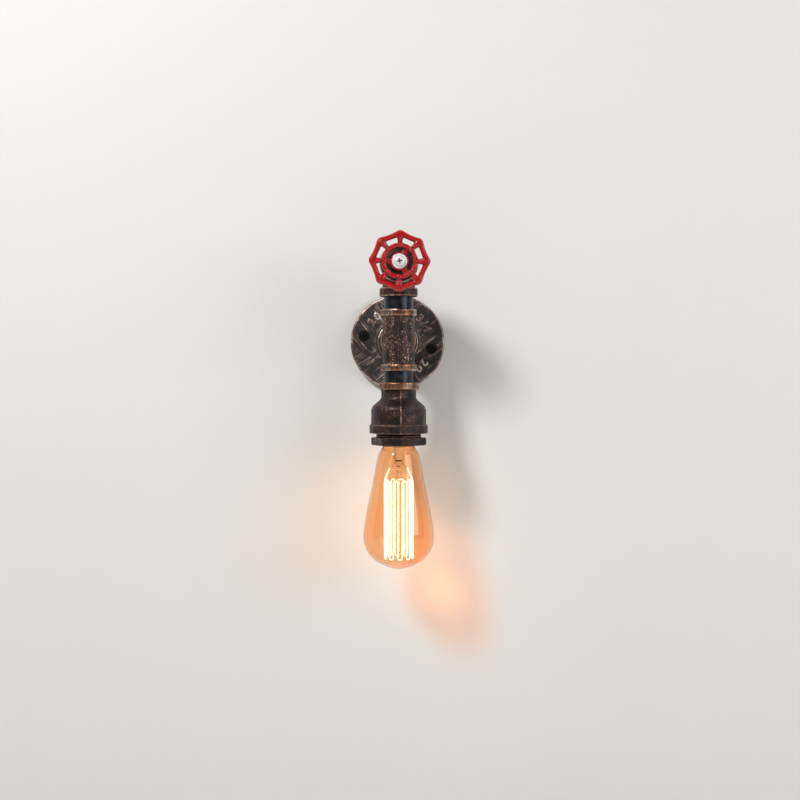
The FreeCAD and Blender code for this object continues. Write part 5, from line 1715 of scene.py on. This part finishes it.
@dataclass
class WallPlate(Assembly):
    """Round wall flange with its screws and its earth fixing."""

    thickness: float = 7.5 * MM
    hub_radius: float = 19.25 * MM
    edge: float = 1.8 * MM
    root: float = 3.5 * MM
    recess_radius: float = 25.0 * MM
    recess_depth: float = 4.0 * MM
    hole_radius: float = 3.3 * MM
    sink_radius: float = 6.0 * MM
    voxel: float = 0.5 * MM
    sand: SandMould = SandMould(0.2 * MM, 7 * MM, 1.9)
    figure_height: float = 10.5 * MM
    figure_depth: float = 0.9 * MM
    figure_wear: float = 0.34
    figure_swell: float = 0.20 * MM
    figure_radius: float = 31.0 * MM
    marks: tuple[tuple[str, float], ...] = (
        ("3", 47.0), ("/", 36.0), ("4", 25.0), ("2", -38.0), ("0", -51.0),
        ("2", 142.0), ("0", 128.0))

    def plate(self) -> Object:
        """Disc and hub with raised figures, countersunk holes and the bore.

        Returns:
            The piece.
        """
        centre = middle("branch_nipple")
        front = ends("wall_flange", 1)[0]
        radius = width("wall_flange", 2) / 2
        corners = [(0.0, 0.0, 0.0), (radius, 0.0, 0.4 * MM),
                   (radius, -self.thickness, self.edge),
                   (self.hub_radius, -self.thickness, self.root),
                   (self.hub_radius, front, 1.0 * MM), (0.0, front, 0.0)]
        disc = turned("disc", rounded_profile(corners, 6), centre, Axis.LEVEL, 160)
        plate = cast(merged("wall_flange_casting", [disc, *self.figures(centre)]),
                     self.voxel, 2)
        self.sand.press(plate)
        mark_wear(plate, 2)
        self.rub_figures(plate, centre)
        combined(plate, Combine.CUT, [*self.hole_cutters(), *self.back_cutters(centre, front)])
        shade(plate)
        return self.hand_over(plate, "root", "flange_antique", "wall_flange")

    def rub_figures(self, plate: Object, centre: Vector) -> None:
        """Wear what stands out of the plate's face away from the hub.

        Args:
            plate: The plate, with its edges marked.
            centre: A point on its axis.
        """
        places = edge_arrays(plate.data)[0]
        apart = np.hypot(places[:, 0] - centre.x, places[:, 2] - centre.z)
        raised = np.clip((-self.thickness - places[:, 1]) / (0.5 * MM), 0.0, 1.0)
        add_wear(plate, np.where(apart > self.hub_radius + self.root,
                                 self.figure_wear * raised, 0.0))

    def figures(self, centre: Vector) -> list[Object]:
        """Raised pipe sizes between the screw holes, each figure's head outward.

        Args:
            centre: A point on the plate's axis.

        Returns:
            One closed shape for each figure.
        """
        shapes = []
        quarter = math.radians(90)
        for text, angle in self.marks:
            curve = bpy.data.curves.new("figure", "FONT")
            curve.body, curve.size = text, self.figure_height
            curve.extrude, curve.offset = self.figure_depth, self.figure_swell
            curve.align_x, curve.align_y = "CENTER", "CENTER"
            mesh = drawn(curve)
            way = math.radians(angle)
            place = Vector((centre.x + self.figure_radius * math.cos(way), -self.thickness,
                            centre.z + self.figure_radius * math.sin(way)))
            mesh.transform(Matrix.Translation(place) @ Matrix.Rotation(quarter, 4, "X")
                           @ Matrix.Rotation(way - quarter, 4, "Z"))
            shapes.append(face_outward(linked("figure", mesh)))
        return shapes

    def hole_cutters(self) -> list[Object]:
        """Countersunk holes, as one cutter each.

        Returns:
            The cutters.
        """
        cutters = []
        sink, past = self.sink_radius - self.hole_radius, CUTTER_PAST
        for x, z in screw_holes():
            outline = [(0.0, -self.thickness - past),
                       (self.sink_radius + past, -self.thickness - past),
                       (self.hole_radius, -self.thickness + sink),
                       (self.hole_radius, past), (0.0, past)]
            cutters.append(turned("hole", outline, Vector((x, 0, z)), Axis.LEVEL, 48, 2 * MM))
        return cutters

    def back_cutters(self, centre: Vector, front: float) -> list[Object]:
        """Recess in the back, and the bore from the hub's front through the plate.

        Args:
            centre: A point on the plate's axis.
            front: Place of the hub's front on that axis.

        Returns:
            The two cutters.
        """
        return [rod("recess", self.recess_radius, -self.recess_depth, CUTTER_PAST, centre,
                    Axis.LEVEL, COARSE),
                rod("bore", socket_radius("branch_nipple"), front - CUTTER_PAST, CUTTER_PAST,
                    centre, Axis.LEVEL, COARSE)]

    def build(self) -> None:
        """Build the plate; its screws are CAD nodes with a finish."""
        self.plate()
        self.finish_nodes({"wall_screws": "screw_black", "earth_screw": "steel_plain",
                           "earth_ring_terminal": "brass"})


@dataclass
class Wheel(Assembly):
    """Valve handwheel with its washer, screw and plug."""

    nodes: int = 8
    turn: float = -1.5
    node_round: float = 5.2 * MM
    valley: float = 24.7 * MM
    rim_width: float = 4.8 * MM
    rim_depth: float = 6.4 * MM
    rim_forward: float = 1.1 * MM
    ring_inner: float = 12.0 * MM
    ring_outer: float = 15.9 * MM
    ring_depth: float = 5.4 * MM
    ring_round: float = 1.9 * MM
    spoke: float = 3.3 * MM
    spoke_sink: float = 2 * MM
    boss_radius: float = 3.0 * MM
    ring_boss: float = 2.3 * MM
    arm: float = 4.4 * MM
    arm_start: float = 3 * MM
    arm_back: float = 2.75 * MM
    arm_dish: float = 1.5 * MM
    arm_turn: float = 60.0
    arms: int = 3
    hub_radius: float = 8.0 * MM
    hub_depth: float = 9.0 * MM
    voxel: float = 0.42 * MM
    sand: SandMould = SandMould(0.10 * MM, 5 * MM, 6.4)
    plug_bore: float = 4.05 * MM
    plug_boss: float = 10.0 * MM
    plug_collar: float = 12.0 * MM
    plug_collar_width: float = 2.5 * MM
    shank: float = 2.0 * MM
    head_round: float = 2.1 * MM
    cross_turn: float = 12.0
    cross_reach: float = 2.6 * MM
    cross_width: float = 0.8 * MM
    washer_hole: float = 2.1 * MM
    washer_round: float = 0.3 * MM

    def rim(self, centre: Vector, depth_middle: float) -> Object:
        """Scalloped rim as a ring swept round the axis.

        Args:
            centre: A point on the axis.
            depth_middle: Y of the rim's middle.

        Returns:
            The closed ring.
        """
        reach = width("handwheel") / 2
        around, section = 320, 20
        vertices, faces = [], []
        for step in range(around):
            angle = 2 * math.pi * step / around
            outer = self.outline_radius(angle, reach)
            inner = self.window_radius(angle)
            half = (outer - inner) / 2
            swell = 1.0 + 0.06 * (outer - self.valley) / (reach - self.valley)
            for index in range(section):
                turn = 2 * math.pi * index / section
                radius = inner + half + half * math.cos(turn)
                vertices.append((centre.x + radius * math.cos(angle),
                                 depth_middle + self.rim_depth / 2 * swell * math.sin(turn),
                                 centre.z + radius * math.sin(angle)))
        for step in range(around):
            for index in range(section):
                after, on = (step + 1) % around, (index + 1) % section
                faces.append((step * section + index, after * section + index,
                              after * section + on, step * section + on))
        return face_outward(mesh_object("rim", vertices, faces))

    def outline_radius(self, angle: float, reach: float) -> float:
        """Outer radius of the scalloped rim: round nodes joined by hollow arcs.

        Args:
            angle: Angle from +X.
            reach: Radius over the nodes.

        Returns:
            The radius.
        """
        half = math.pi / self.nodes
        first = math.radians(90 + self.turn)
        off = (angle - first + half) % (2 * half) - half
        node_centre = reach - self.node_round
        side, across = node_centre * math.cos(half), node_centre * math.sin(half)
        past = self.valley - side
        hollow = (past ** 2 + across ** 2 - self.node_round ** 2) / (
            2 * (self.node_round - past))
        centre_reach = self.valley + hollow
        touch = Vector((node_centre, 0.0)).lerp(
            Vector((centre_reach * math.cos(half), centre_reach * math.sin(half))),
            self.node_round / (self.node_round + hollow))
        if abs(off) < math.atan2(touch.y, touch.x):
            spread = self.node_round ** 2 - (node_centre * math.sin(off)) ** 2
            return node_centre * math.cos(off) + math.sqrt(max(spread, 0.0))
        away = half - abs(off)
        spread = hollow ** 2 - (centre_reach * math.sin(away)) ** 2
        return centre_reach * math.cos(away) - math.sqrt(max(spread, 0.0))

    def window_radius(self, angle: float) -> float:
        """Inner radius of the rim at one angle from +X: straight between nodes.

        Args:
            angle: The angle in radians.

        Returns:
            The radius.
        """
        half = math.pi / self.nodes
        off = (angle - math.radians(90 + self.turn)) % (2 * half) - half
        return (self.valley - self.rim_width) / math.cos(off)

    def boss(self, centre: Vector, depth_middle: float, at: float, radius: float) -> Object:
        """Rounded swelling on the first spoke.

        Args:
            centre: A point on the axis.
            depth_middle: Y of the rim's middle.
            at: Distance of its centre from the axis.
            radius: Its radius seen from the front.

        Returns:
            The closed swelling, on the +X side.
        """
        half = self.rim_depth * 0.54
        corners = [(0.0, depth_middle - half, 0.0), (radius, depth_middle - half, 0.7 * radius),
                   (radius, depth_middle + half, 0.7 * radius), (0.0, depth_middle + half, 0.0)]
        return turned("boss", rounded_profile(corners), centre + Vector((at, 0, 0)),
                      Axis.LEVEL, 40)

    def wheel(self, tree: NodeTree) -> Object:
        """Cast wheel: rim, spokes, ring, dished arms and hub melted together.

        Args:
            tree: Tree made by ring_tree.

        Returns:
            The wheel.
        """
        centre, front = middle("wheel_washer"), ends("wheel_washer", 1)[1]
        mid, reach = front - self.rim_forward, width("handwheel") / 2
        inside, soft = centre_at(centre, mid), self.ring_round
        spoke = bar("spoke", inside + Vector((self.ring_outer - self.spoke_sink, 0, 0)),
                    inside + Vector((reach - self.node_round * 0.7, 0, 0)),
                    (self.spoke * 0.50, self.rim_depth * 0.53), Bar.ROUND, 1.12)
        bosses = [self.boss(centre, mid, at, radius) for at, radius in
                  ((reach - self.node_round, self.boss_radius),
                   ((self.ring_inner + self.ring_outer) / 2, self.ring_boss))]
        spokes = ring_of(merged("spokes", [spoke, *bosses]), tree, self.nodes,
                         math.radians(90 + self.turn), centre, Axis.LEVEL)
        arm_y = front + self.arm_back
        arm = bar("arm", centre_at(centre, arm_y) + Vector((self.arm_start, 0, 0)),
                  centre_at(centre, arm_y - self.arm_dish)
                  + Vector((self.ring_inner + self.spoke_sink, 0, 0)),
                  (self.arm * 0.56, self.arm * 0.50), Bar.ROUND, 0.9)
        arms = ring_of(arm, tree, self.arms, math.radians(self.arm_turn), centre, Axis.LEVEL)
        near, far = mid - self.ring_depth / 2, mid + self.ring_depth / 2
        ring = turned("ring", rounded_profile(
            [(self.ring_inner, near, soft), (self.ring_outer, near, soft),
             (self.ring_outer, far, soft), (self.ring_inner, far, soft)]),
                      centre, Axis.LEVEL, 160)
        back = front + self.hub_depth
        hub = turned("hub", rounded_profile(
            [(0.0, front, 0.0), (self.hub_radius, front, 0.9 * MM),
             (self.hub_radius, back, 0.6 * MM), (0.0, back, 0.0)]), centre, Axis.LEVEL, 96)
        wheel = merged("handwheel_casting", [self.rim(centre, mid), spokes, arms, ring, hub])
        cast(wheel, self.voxel, 3)
        self.sand.press(wheel)
        # The enamel reads these marks as painted shade, darker from the ridges into the hollows.
        mark_wear(wheel, 3, 4.0)
        shade(wheel, 60)
        return self.hand_over(wheel, "wheel", "enamel_red", "handwheel")

    def plug(self) -> Object:
        """Plug with a collar and a boss round the stem.

        Returns:
            The piece.
        """
        centre = middle("stem_plug")
        front, back = ends("stem_plug", 1)
        bore, boss, collar = self.plug_bore, self.plug_boss, self.plug_collar
        screwed, collar_back = width("stem_plug") / 2, ends("elbow", 1)[0]
        collar_front = collar_back - self.plug_collar_width
        corners = [(bore, front, 0.4 * MM), (boss, front, 1.1 * MM),
                   (boss, collar_front, 0.6 * MM), (collar, collar_front, 0.7 * MM),
                   (collar, collar_back, 0.0), (screwed, collar_back, 0.3 * MM),
                   (screwed, back, 0.6 * MM), (bore, back, 0.3 * MM)]
        plug = turned("stem_plug_turning", rounded_profile(corners), centre, Axis.LEVEL, 120)
        mark_wear(plug, 2, 2.0)
        shade(plug)
        return self.hand_over(plug, "root", "cast_iron_antique", "stem_plug",
                              finish="cast_iron_smooth")

    def screw(self) -> Object:
        """Pan-head screw with a cross recess.

        Returns:
            The piece.
        """
        centre = middle("wheel_washer")
        front, end = ends("wheel_screw", 1)
        seat = ends("wheel_washer", 1)[0]
        head, shank = width("wheel_screw") / 2, self.shank
        corners = [(0.0, front, 0.0), (head, front, self.head_round), (head, seat, 0.2 * MM),
                   (shank, seat, 0.0), (shank, end, 0.4 * MM), (0.0, end, 0.0)]
        screw = turned("wheel_screw_head", rounded_profile(corners, 8), centre, Axis.LEVEL, 96)
        cutters = []
        for index in range(2):
            angle = math.radians(self.cross_turn + 90 * index)
            way = Vector((math.cos(angle), 0, math.sin(angle)))
            deep = centre_at(centre, front + self.cross_width)
            cutters.append(bar("arm", deep - way * self.cross_reach,
                               deep + way * self.cross_reach,
                               (self.cross_width, self.cross_width), Bar.SQUARE, 2.0))
        combined(screw, Combine.CUT, cutters)
        shade(screw, 40)
        return self.hand_over(screw, "wheel", "zinc_bright", "wheel_screw")

    def washer(self) -> Object:
        """Washer with softly stamped edges.

        Returns:
            The piece.
        """
        front, back = ends("wheel_washer", 1)
        outer, hole, soft = width("wheel_washer") / 2, self.washer_hole, self.washer_round
        corners = [(hole, front, soft), (outer, front, soft), (outer, back, soft),
                   (hole, back, soft)]
        washer = turned("wheel_washer_ring", rounded_profile(corners),
                        middle("wheel_washer"), Axis.LEVEL, 128)
        shade(washer)
        return self.hand_over(washer, "wheel", "zinc_bright", "wheel_washer")

    def build(self, tree: NodeTree) -> None:
        """Build the wheel and what holds it.

        Args:
            tree: Tree made by ring_tree.
        """
        self.wheel(tree)
        self.plug()
        self.screw()
        self.washer()
        self.finish_nodes({"wheel_stem": "steel_plain", "stem_clip": "steel_plain"})


@dataclass
class Bulb(Assembly):
    """Tear-shaped bulb: glass, stem and a cage filament.

    Attributes:
        profile_mm: (millimetres below the cap's edge, radius) of the glass.
        cage_top: Top of the filament's cage below the cap's edge.
        cage_bottom: Its bottom below the cap's edge.
        lead_end: Where the leads hold the filament, below the cap's edge.
    """

    wall: float = 1.0 * MM
    neck_radius: float = 12.4 * MM
    neck_inside: float = 4.5 * MM
    profile_mm: tuple[Point2, ...] = (
        (1.6, 13.9), (9.7, 18.7), (27.7, 22.3), (45.7, 25.9), (63.6, 29.6),
        (81.7, 32.0), (90.7, 31.3), (99.7, 27.4), (107.5, 18.9))
    curve_steps: int = 14
    strands: int = 20
    strand_radius: float = 0.35 * MM
    cage_radius: float = 12.9 * MM
    cage_turn: float = 4.5
    cage_top: float = 33.0 * MM
    cage_bottom: float = 104.0 * MM
    lead_reach: float = 8.0 * MM
    lead_end: float = 22.0 * MM
    clamp_gap: float = 0.85 * MM

    def edge(self) -> float:
        """Z of the cap's edge, where the glass comes out."""
        return ends("bulb_cap", 2)[0]

    def glass_curve(self, inset: float) -> list[Point2]:
        """Smooth outline of the glass, from its neck to its bottom.

        Args:
            inset: Distance inward from the outer surface.

        Returns:
            (radius, height) points.
        """
        edge, bottom = self.edge(), ends("bulb_glass", 2)[0]
        knots = [Vector((self.neck_radius, edge - 1.0 * MM))]
        knots += [Vector((radius * MM, edge - drop * MM)) for drop, radius in self.profile_mm]
        knots.append(Vector((0.0, bottom)))
        start, end = Vector((0.0, -1.0)), Vector((-1.0, 0.0))
        smooth = smooth_through(knots, start, end, self.curve_steps)
        outline = [(self.neck_radius, edge + self.neck_inside), *smooth]
        if inset == 0.0:
            return outline
        moved = []
        for index, point in enumerate(outline):
            before = Vector(outline[max(index - 1, 0)])
            after = Vector(outline[min(index + 1, len(outline) - 1)])
            way = (after - before).normalized()
            inward = Vector((way.y, -way.x))
            shifted = Vector(point) + inward * inset
            moved.append((max(shifted.x, 0.0), shifted.y))
        moved[-1] = (0.0, bottom + inset)
        moved[0] = (self.neck_radius - inset, edge + self.neck_inside)
        return moved

    def glass(self) -> Object:
        """Blown glass with its inner and outer surface.

        Returns:
            The piece.
        """
        outer, inner = self.glass_curve(0.0), self.glass_curve(self.wall)
        outline = outer[::-1] + inner
        outline[0] = (0.0, outer[-1][1])
        glass = turned("bulb_glass_envelope", outline, middle("bulb_cap"), Axis.UP, 128,
                       1.6 * MM)
        glass.data.shade_smooth()
        return self.hand_over(glass, "bulb", "bulb_glass", "bulb_glass")

    def cage_point(self, steps: float, height: float) -> Vector:
        """Point of the filament's cage.

        Args:
            steps: Way round the cage, counted in strands from the first one.
            height: Height of the point.

        Returns:
            The point.
        """
        centre = middle("bulb_cap")
        angle = math.radians(360 * (steps + 0.5) / self.strands + self.cage_turn)
        return Vector((centre.x + self.cage_radius * math.cos(angle),
                       centre.y + self.cage_radius * math.sin(angle), height))

    def turn_back(self, height: float, way: float) -> list[Vector]:
        """Half round from strand 0 to strand 1, past the end of both.

        Args:
            height: Height of the turn's far side.
            way: 1 for a turn at the top, -1 for one at the bottom.

        Returns:
            Points of the turn.
        """
        half = self.cage_radius * math.sin(math.pi / self.strands)
        swings = [math.pi * share / 10 for share in range(11)]
        return [self.cage_point(0.5 - 0.5 * math.cos(swing),
                                height - way * half * (1 - math.sin(swing)))
                for swing in swings]

    def filament(self, tree: NodeTree) -> Object:
        """Two wires from lead to lead, up and down round the cage.

        Args:
            tree: Tree made by ring_tree.

        Returns:
            The filament.
        """
        centre, radius = middle("bulb_cap"), self.strand_radius
        step, half_way = 2 * math.pi / self.strands, self.strands // 2
        half = self.cage_radius * math.sin(math.pi / self.strands)
        top, low = self.edge() - self.cage_top, self.edge() - self.cage_bottom
        shoulder = top - half
        hairpin = wire("hairpin", [self.cage_point(0, shoulder), *self.turn_back(low, -1),
                                   self.cage_point(1, shoulder)], radius)
        pieces = [ring_of(hairpin, tree, half_way, 0.0, centre, Axis.UP)]
        for side in (0, 1):
            link = wire("link", self.turn_back(top, 1), radius)
            pieces.append(ring_of(link, tree, half_way // 2 - 1, step + math.pi * side,
                                  centre, Axis.UP, 2 * step))
        for index, side in ((0, 1), (half_way - 1, -1), (half_way, -1),
                            (self.strands - 1, 1)):
            away = 1 if index < half_way else -1
            clamp = Vector((centre.x + side * self.lead_reach,
                            centre.y + away * self.clamp_gap, self.edge() - self.lead_end))
            corner, strand = self.cage_point(index, top), self.cage_point(index, shoulder)
            near = corner + (clamp - corner).normalized() * half
            bend = [near.lerp(corner, t / 6).lerp(corner.lerp(strand, t / 6), t / 6)
                    for t in range(7)]
            pieces.append(wire("end", [clamp, *bend], radius))
        filament = merged("filament_cage", pieces)
        filament.data.shade_smooth()
        return self.hand_over(filament, "bulb", "filament_glow", "filament")

    def build(self, tree: NodeTree) -> None:
        """Build the bulb.

        Args:
            tree: Tree made by ring_tree.
        """
        self.glass()
        self.filament(tree)
        self.finish_nodes({"bulb_cap": "cap_brass", "bulb_insulator": "black_insulator",
                           "bulb_tip_contact": "solder", "bulb_mount": "mount_glass",
                           "filament_hooks": "nickel_wire", "filament_leads": "nickel_wire"})


@dataclass
class Wiring(Assembly):
    """Lampholder, its fixings and the leads: CAD nodes that keep their shape."""

    def build(self) -> None:
        """Give every inner node its finish."""
        brass = ("lampholder_shell", "centre_contact", "holder_terminals",
                 "terminal_block_tubes")
        steel = ("holder_terminal_screws", "holder_bracket", "holder_bracket_screws",
                 "holder_tube", "tube_nuts", "support_disc", "terminal_block_screws")
        self.finish_nodes({
            "lampholder_body": "porcelain", "tube_bush": "bush_plastic",
            "terminal_block": "block_plastic", "line_wire": "wire_line",
            "neutral_wire": "wire_neutral", "earth_wire": "wire_earth",
            **dict.fromkeys(brass, "brass"), **dict.fromkeys(steel, "steel_plain")})


# ------------------------------------------------------------------------ studio
@dataclass(frozen=True)
class Lamp:
    """Square soft lamp."""

    name: str
    place: Place
    size: float
    watts: float
    colour: Colour

    def hang(self, target: Vector) -> None:
        """Put the lamp in the scene.

        Args:
            target: Point that it faces.
        """
        light = bpy.data.lights.new(self.name, "AREA")
        light.shape, light.size = "SQUARE", self.size
        light.energy, light.color = self.watts, self.colour
        holder, place = linked(self.name, light), Vector(self.place)
        holder.location = place
        holder.rotation_euler = (target - place).to_track_quat("-Z", "Y").to_euler()


@dataclass
class Studio:
    """Pale wall and floor, soft lamps and the camera at the photograph's angle."""

    lamps: tuple[Lamp, ...] = (
        Lamp("key", (-0.75, -1.1, 0.95), 0.30, 18.5, (1.0, 0.98, 0.95)),
        Lamp("fill", (1.1, -0.9, 0.25), 0.8, 7.0, (0.96, 0.98, 1.0)),
        Lamp("rim", (0.3, 0.9, 1.0), 0.6, 6.0, (1.0, 1.0, 1.0)))
    lamp_target: Place = (0.0, -0.05, -0.03)
    world_strength: float = 0.14
    camera_x: float = -20.0 * MM
    camera_z: float = -41.0 * MM
    aim_x: float = 2.4 * MM
    aim_z: float = -55.0 * MM
    distance: float = 1250.0 * MM
    lens: float = 58.7
    sensor: float = 36.0
    wall_gap: float = 0.6 * MM
    opening: float = 43.6 * MM
    reach: float = 3.0
    floor_z: float = -0.47
    pale: Colour = (0.80, 0.79, 0.77)
    cloud_size: float = 0.15
    cloud_tone: float = 0.985
    clip: tuple[float, float] = (0.05, 20.0)

    def sheet(self, name: str, corners: Sequence[Place], material: Material) -> None:
        """Flat stage piece.

        Args:
            name: Its name.
            corners: Its four corners in order.
            material: Its paint.
        """
        made = mesh_object(name, corners, [(0, 1, 2, 3)])
        made.data.materials.append(material)
        made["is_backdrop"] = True

    def stage_material(self, name: str, one_sided: bool) -> Material:
        """Pale matt paint.

        Args:
            name: Its name.
            one_sided: Whether the sheet is clear from behind, and where the flange
                covers it, so that light reaches the flange's back recess.

        Returns:
            The material.
        """
        g = Graph(name)
        cloud = g.grain(self.cloud_size, 3.0, 0.5)
        warm = tuple(channel * self.cloud_tone for channel in self.pale)
        g.set(Base_Color=g.blend(cloud, self.pale, warm), Roughness=0.9)
        if one_sided:
            behind = g.node("ShaderNodeNewGeometry").outputs["Backfacing"]
            g.clear_where(g.maths("MAXIMUM", behind, g.near_axis(0.0, 0.0, self.opening)),
                          (1.0, 1.0, 1.0))
        return g.material

    def backdrop(self) -> None:
        """Wall behind the flange and floor below the light."""
        y, low, far = self.wall_gap, self.floor_z, self.reach
        self.sheet("backdrop_wall", [(-far, y, low), (far, y, low), (far, y, far),
                                     (-far, y, far)], self.stage_material("stage_wall", True))
        self.sheet("backdrop_floor", [(-far, -far, low), (far, -far, low), (far, far, low),
                                      (-far, far, low)],
                   self.stage_material("stage_floor", False))

    def lights(self) -> None:
        """Key from the upper left, fill from the right, rim from behind, and the world."""
        for lamp in self.lamps:
            lamp.hang(Vector(self.lamp_target))
        world = bpy.data.worlds.new("studio_world")
        world.use_nodes = True
        background = world.node_tree.nodes["Background"]
        background.inputs["Color"].default_value = (1.0, 1.0, 1.0, 1.0)
        background.inputs["Strength"].default_value = self.world_strength
        bpy.context.scene.world = world

    def camera(self) -> None:
        """Camera straight in front, a little below the flange."""
        data = bpy.data.cameras.new("camera")
        data.lens, data.sensor_width = self.lens, self.sensor
        frame_width = self.sensor / self.lens * self.distance
        data.shift_x = (self.aim_x - self.camera_x) / frame_width
        data.shift_y = (self.aim_z - self.camera_z) / frame_width
        data.clip_start, data.clip_end = self.clip
        holder = linked("camera", data)
        holder.location = (self.camera_x, -self.distance, self.camera_z)
        holder.rotation_euler = (math.pi / 2, 0.0, 0.0)
        bpy.context.scene.camera = holder

    def build(self) -> None:
        """Set the stage, the lamps, the camera and the plain view."""
        self.backdrop()
        self.lights()
        self.camera()
        bpy.context.scene.view_settings.view_transform = "Standard"


def write_sizes(packed: tuple) -> None:
    """Gather the CAD box and the dressed box in one table.

    Args:
        packed: Low and high corner of the CAD box.
    """
    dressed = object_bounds()
    boxes = {"cad": [list(corner) for corner in packed],
             "visual": [list(corner) for corner in dressed]}


def main() -> None:
    """Build every sub-assembly in order and report its pieces."""
    logging.basicConfig(level=logging.INFO, format="%(name)s: %(message)s")
    packed = tuple(Vector(corner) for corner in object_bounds())
    finishes = Finishes()
    Studio().build()
    tree = ring_tree(finishes.by_slot["enamel_red"])
    plain: list[Assembly] = [WallPlate(finishes), PipeRun(finishes), LampHead(finishes),
                             Wiring(finishes)]
    for assembly in plain:
        assembly.build()
    repeated: list[Assembly] = [Wheel(finishes), Bulb(finishes)]
    for assembly in repeated:
        assembly.build(tree)
    for assembly in plain + repeated:
        for name in assembly.made:
            LOG.info("%s: %s", type(assembly).__name__, name)
    write_sizes(packed)


if __name__ == "__main__":
    main()
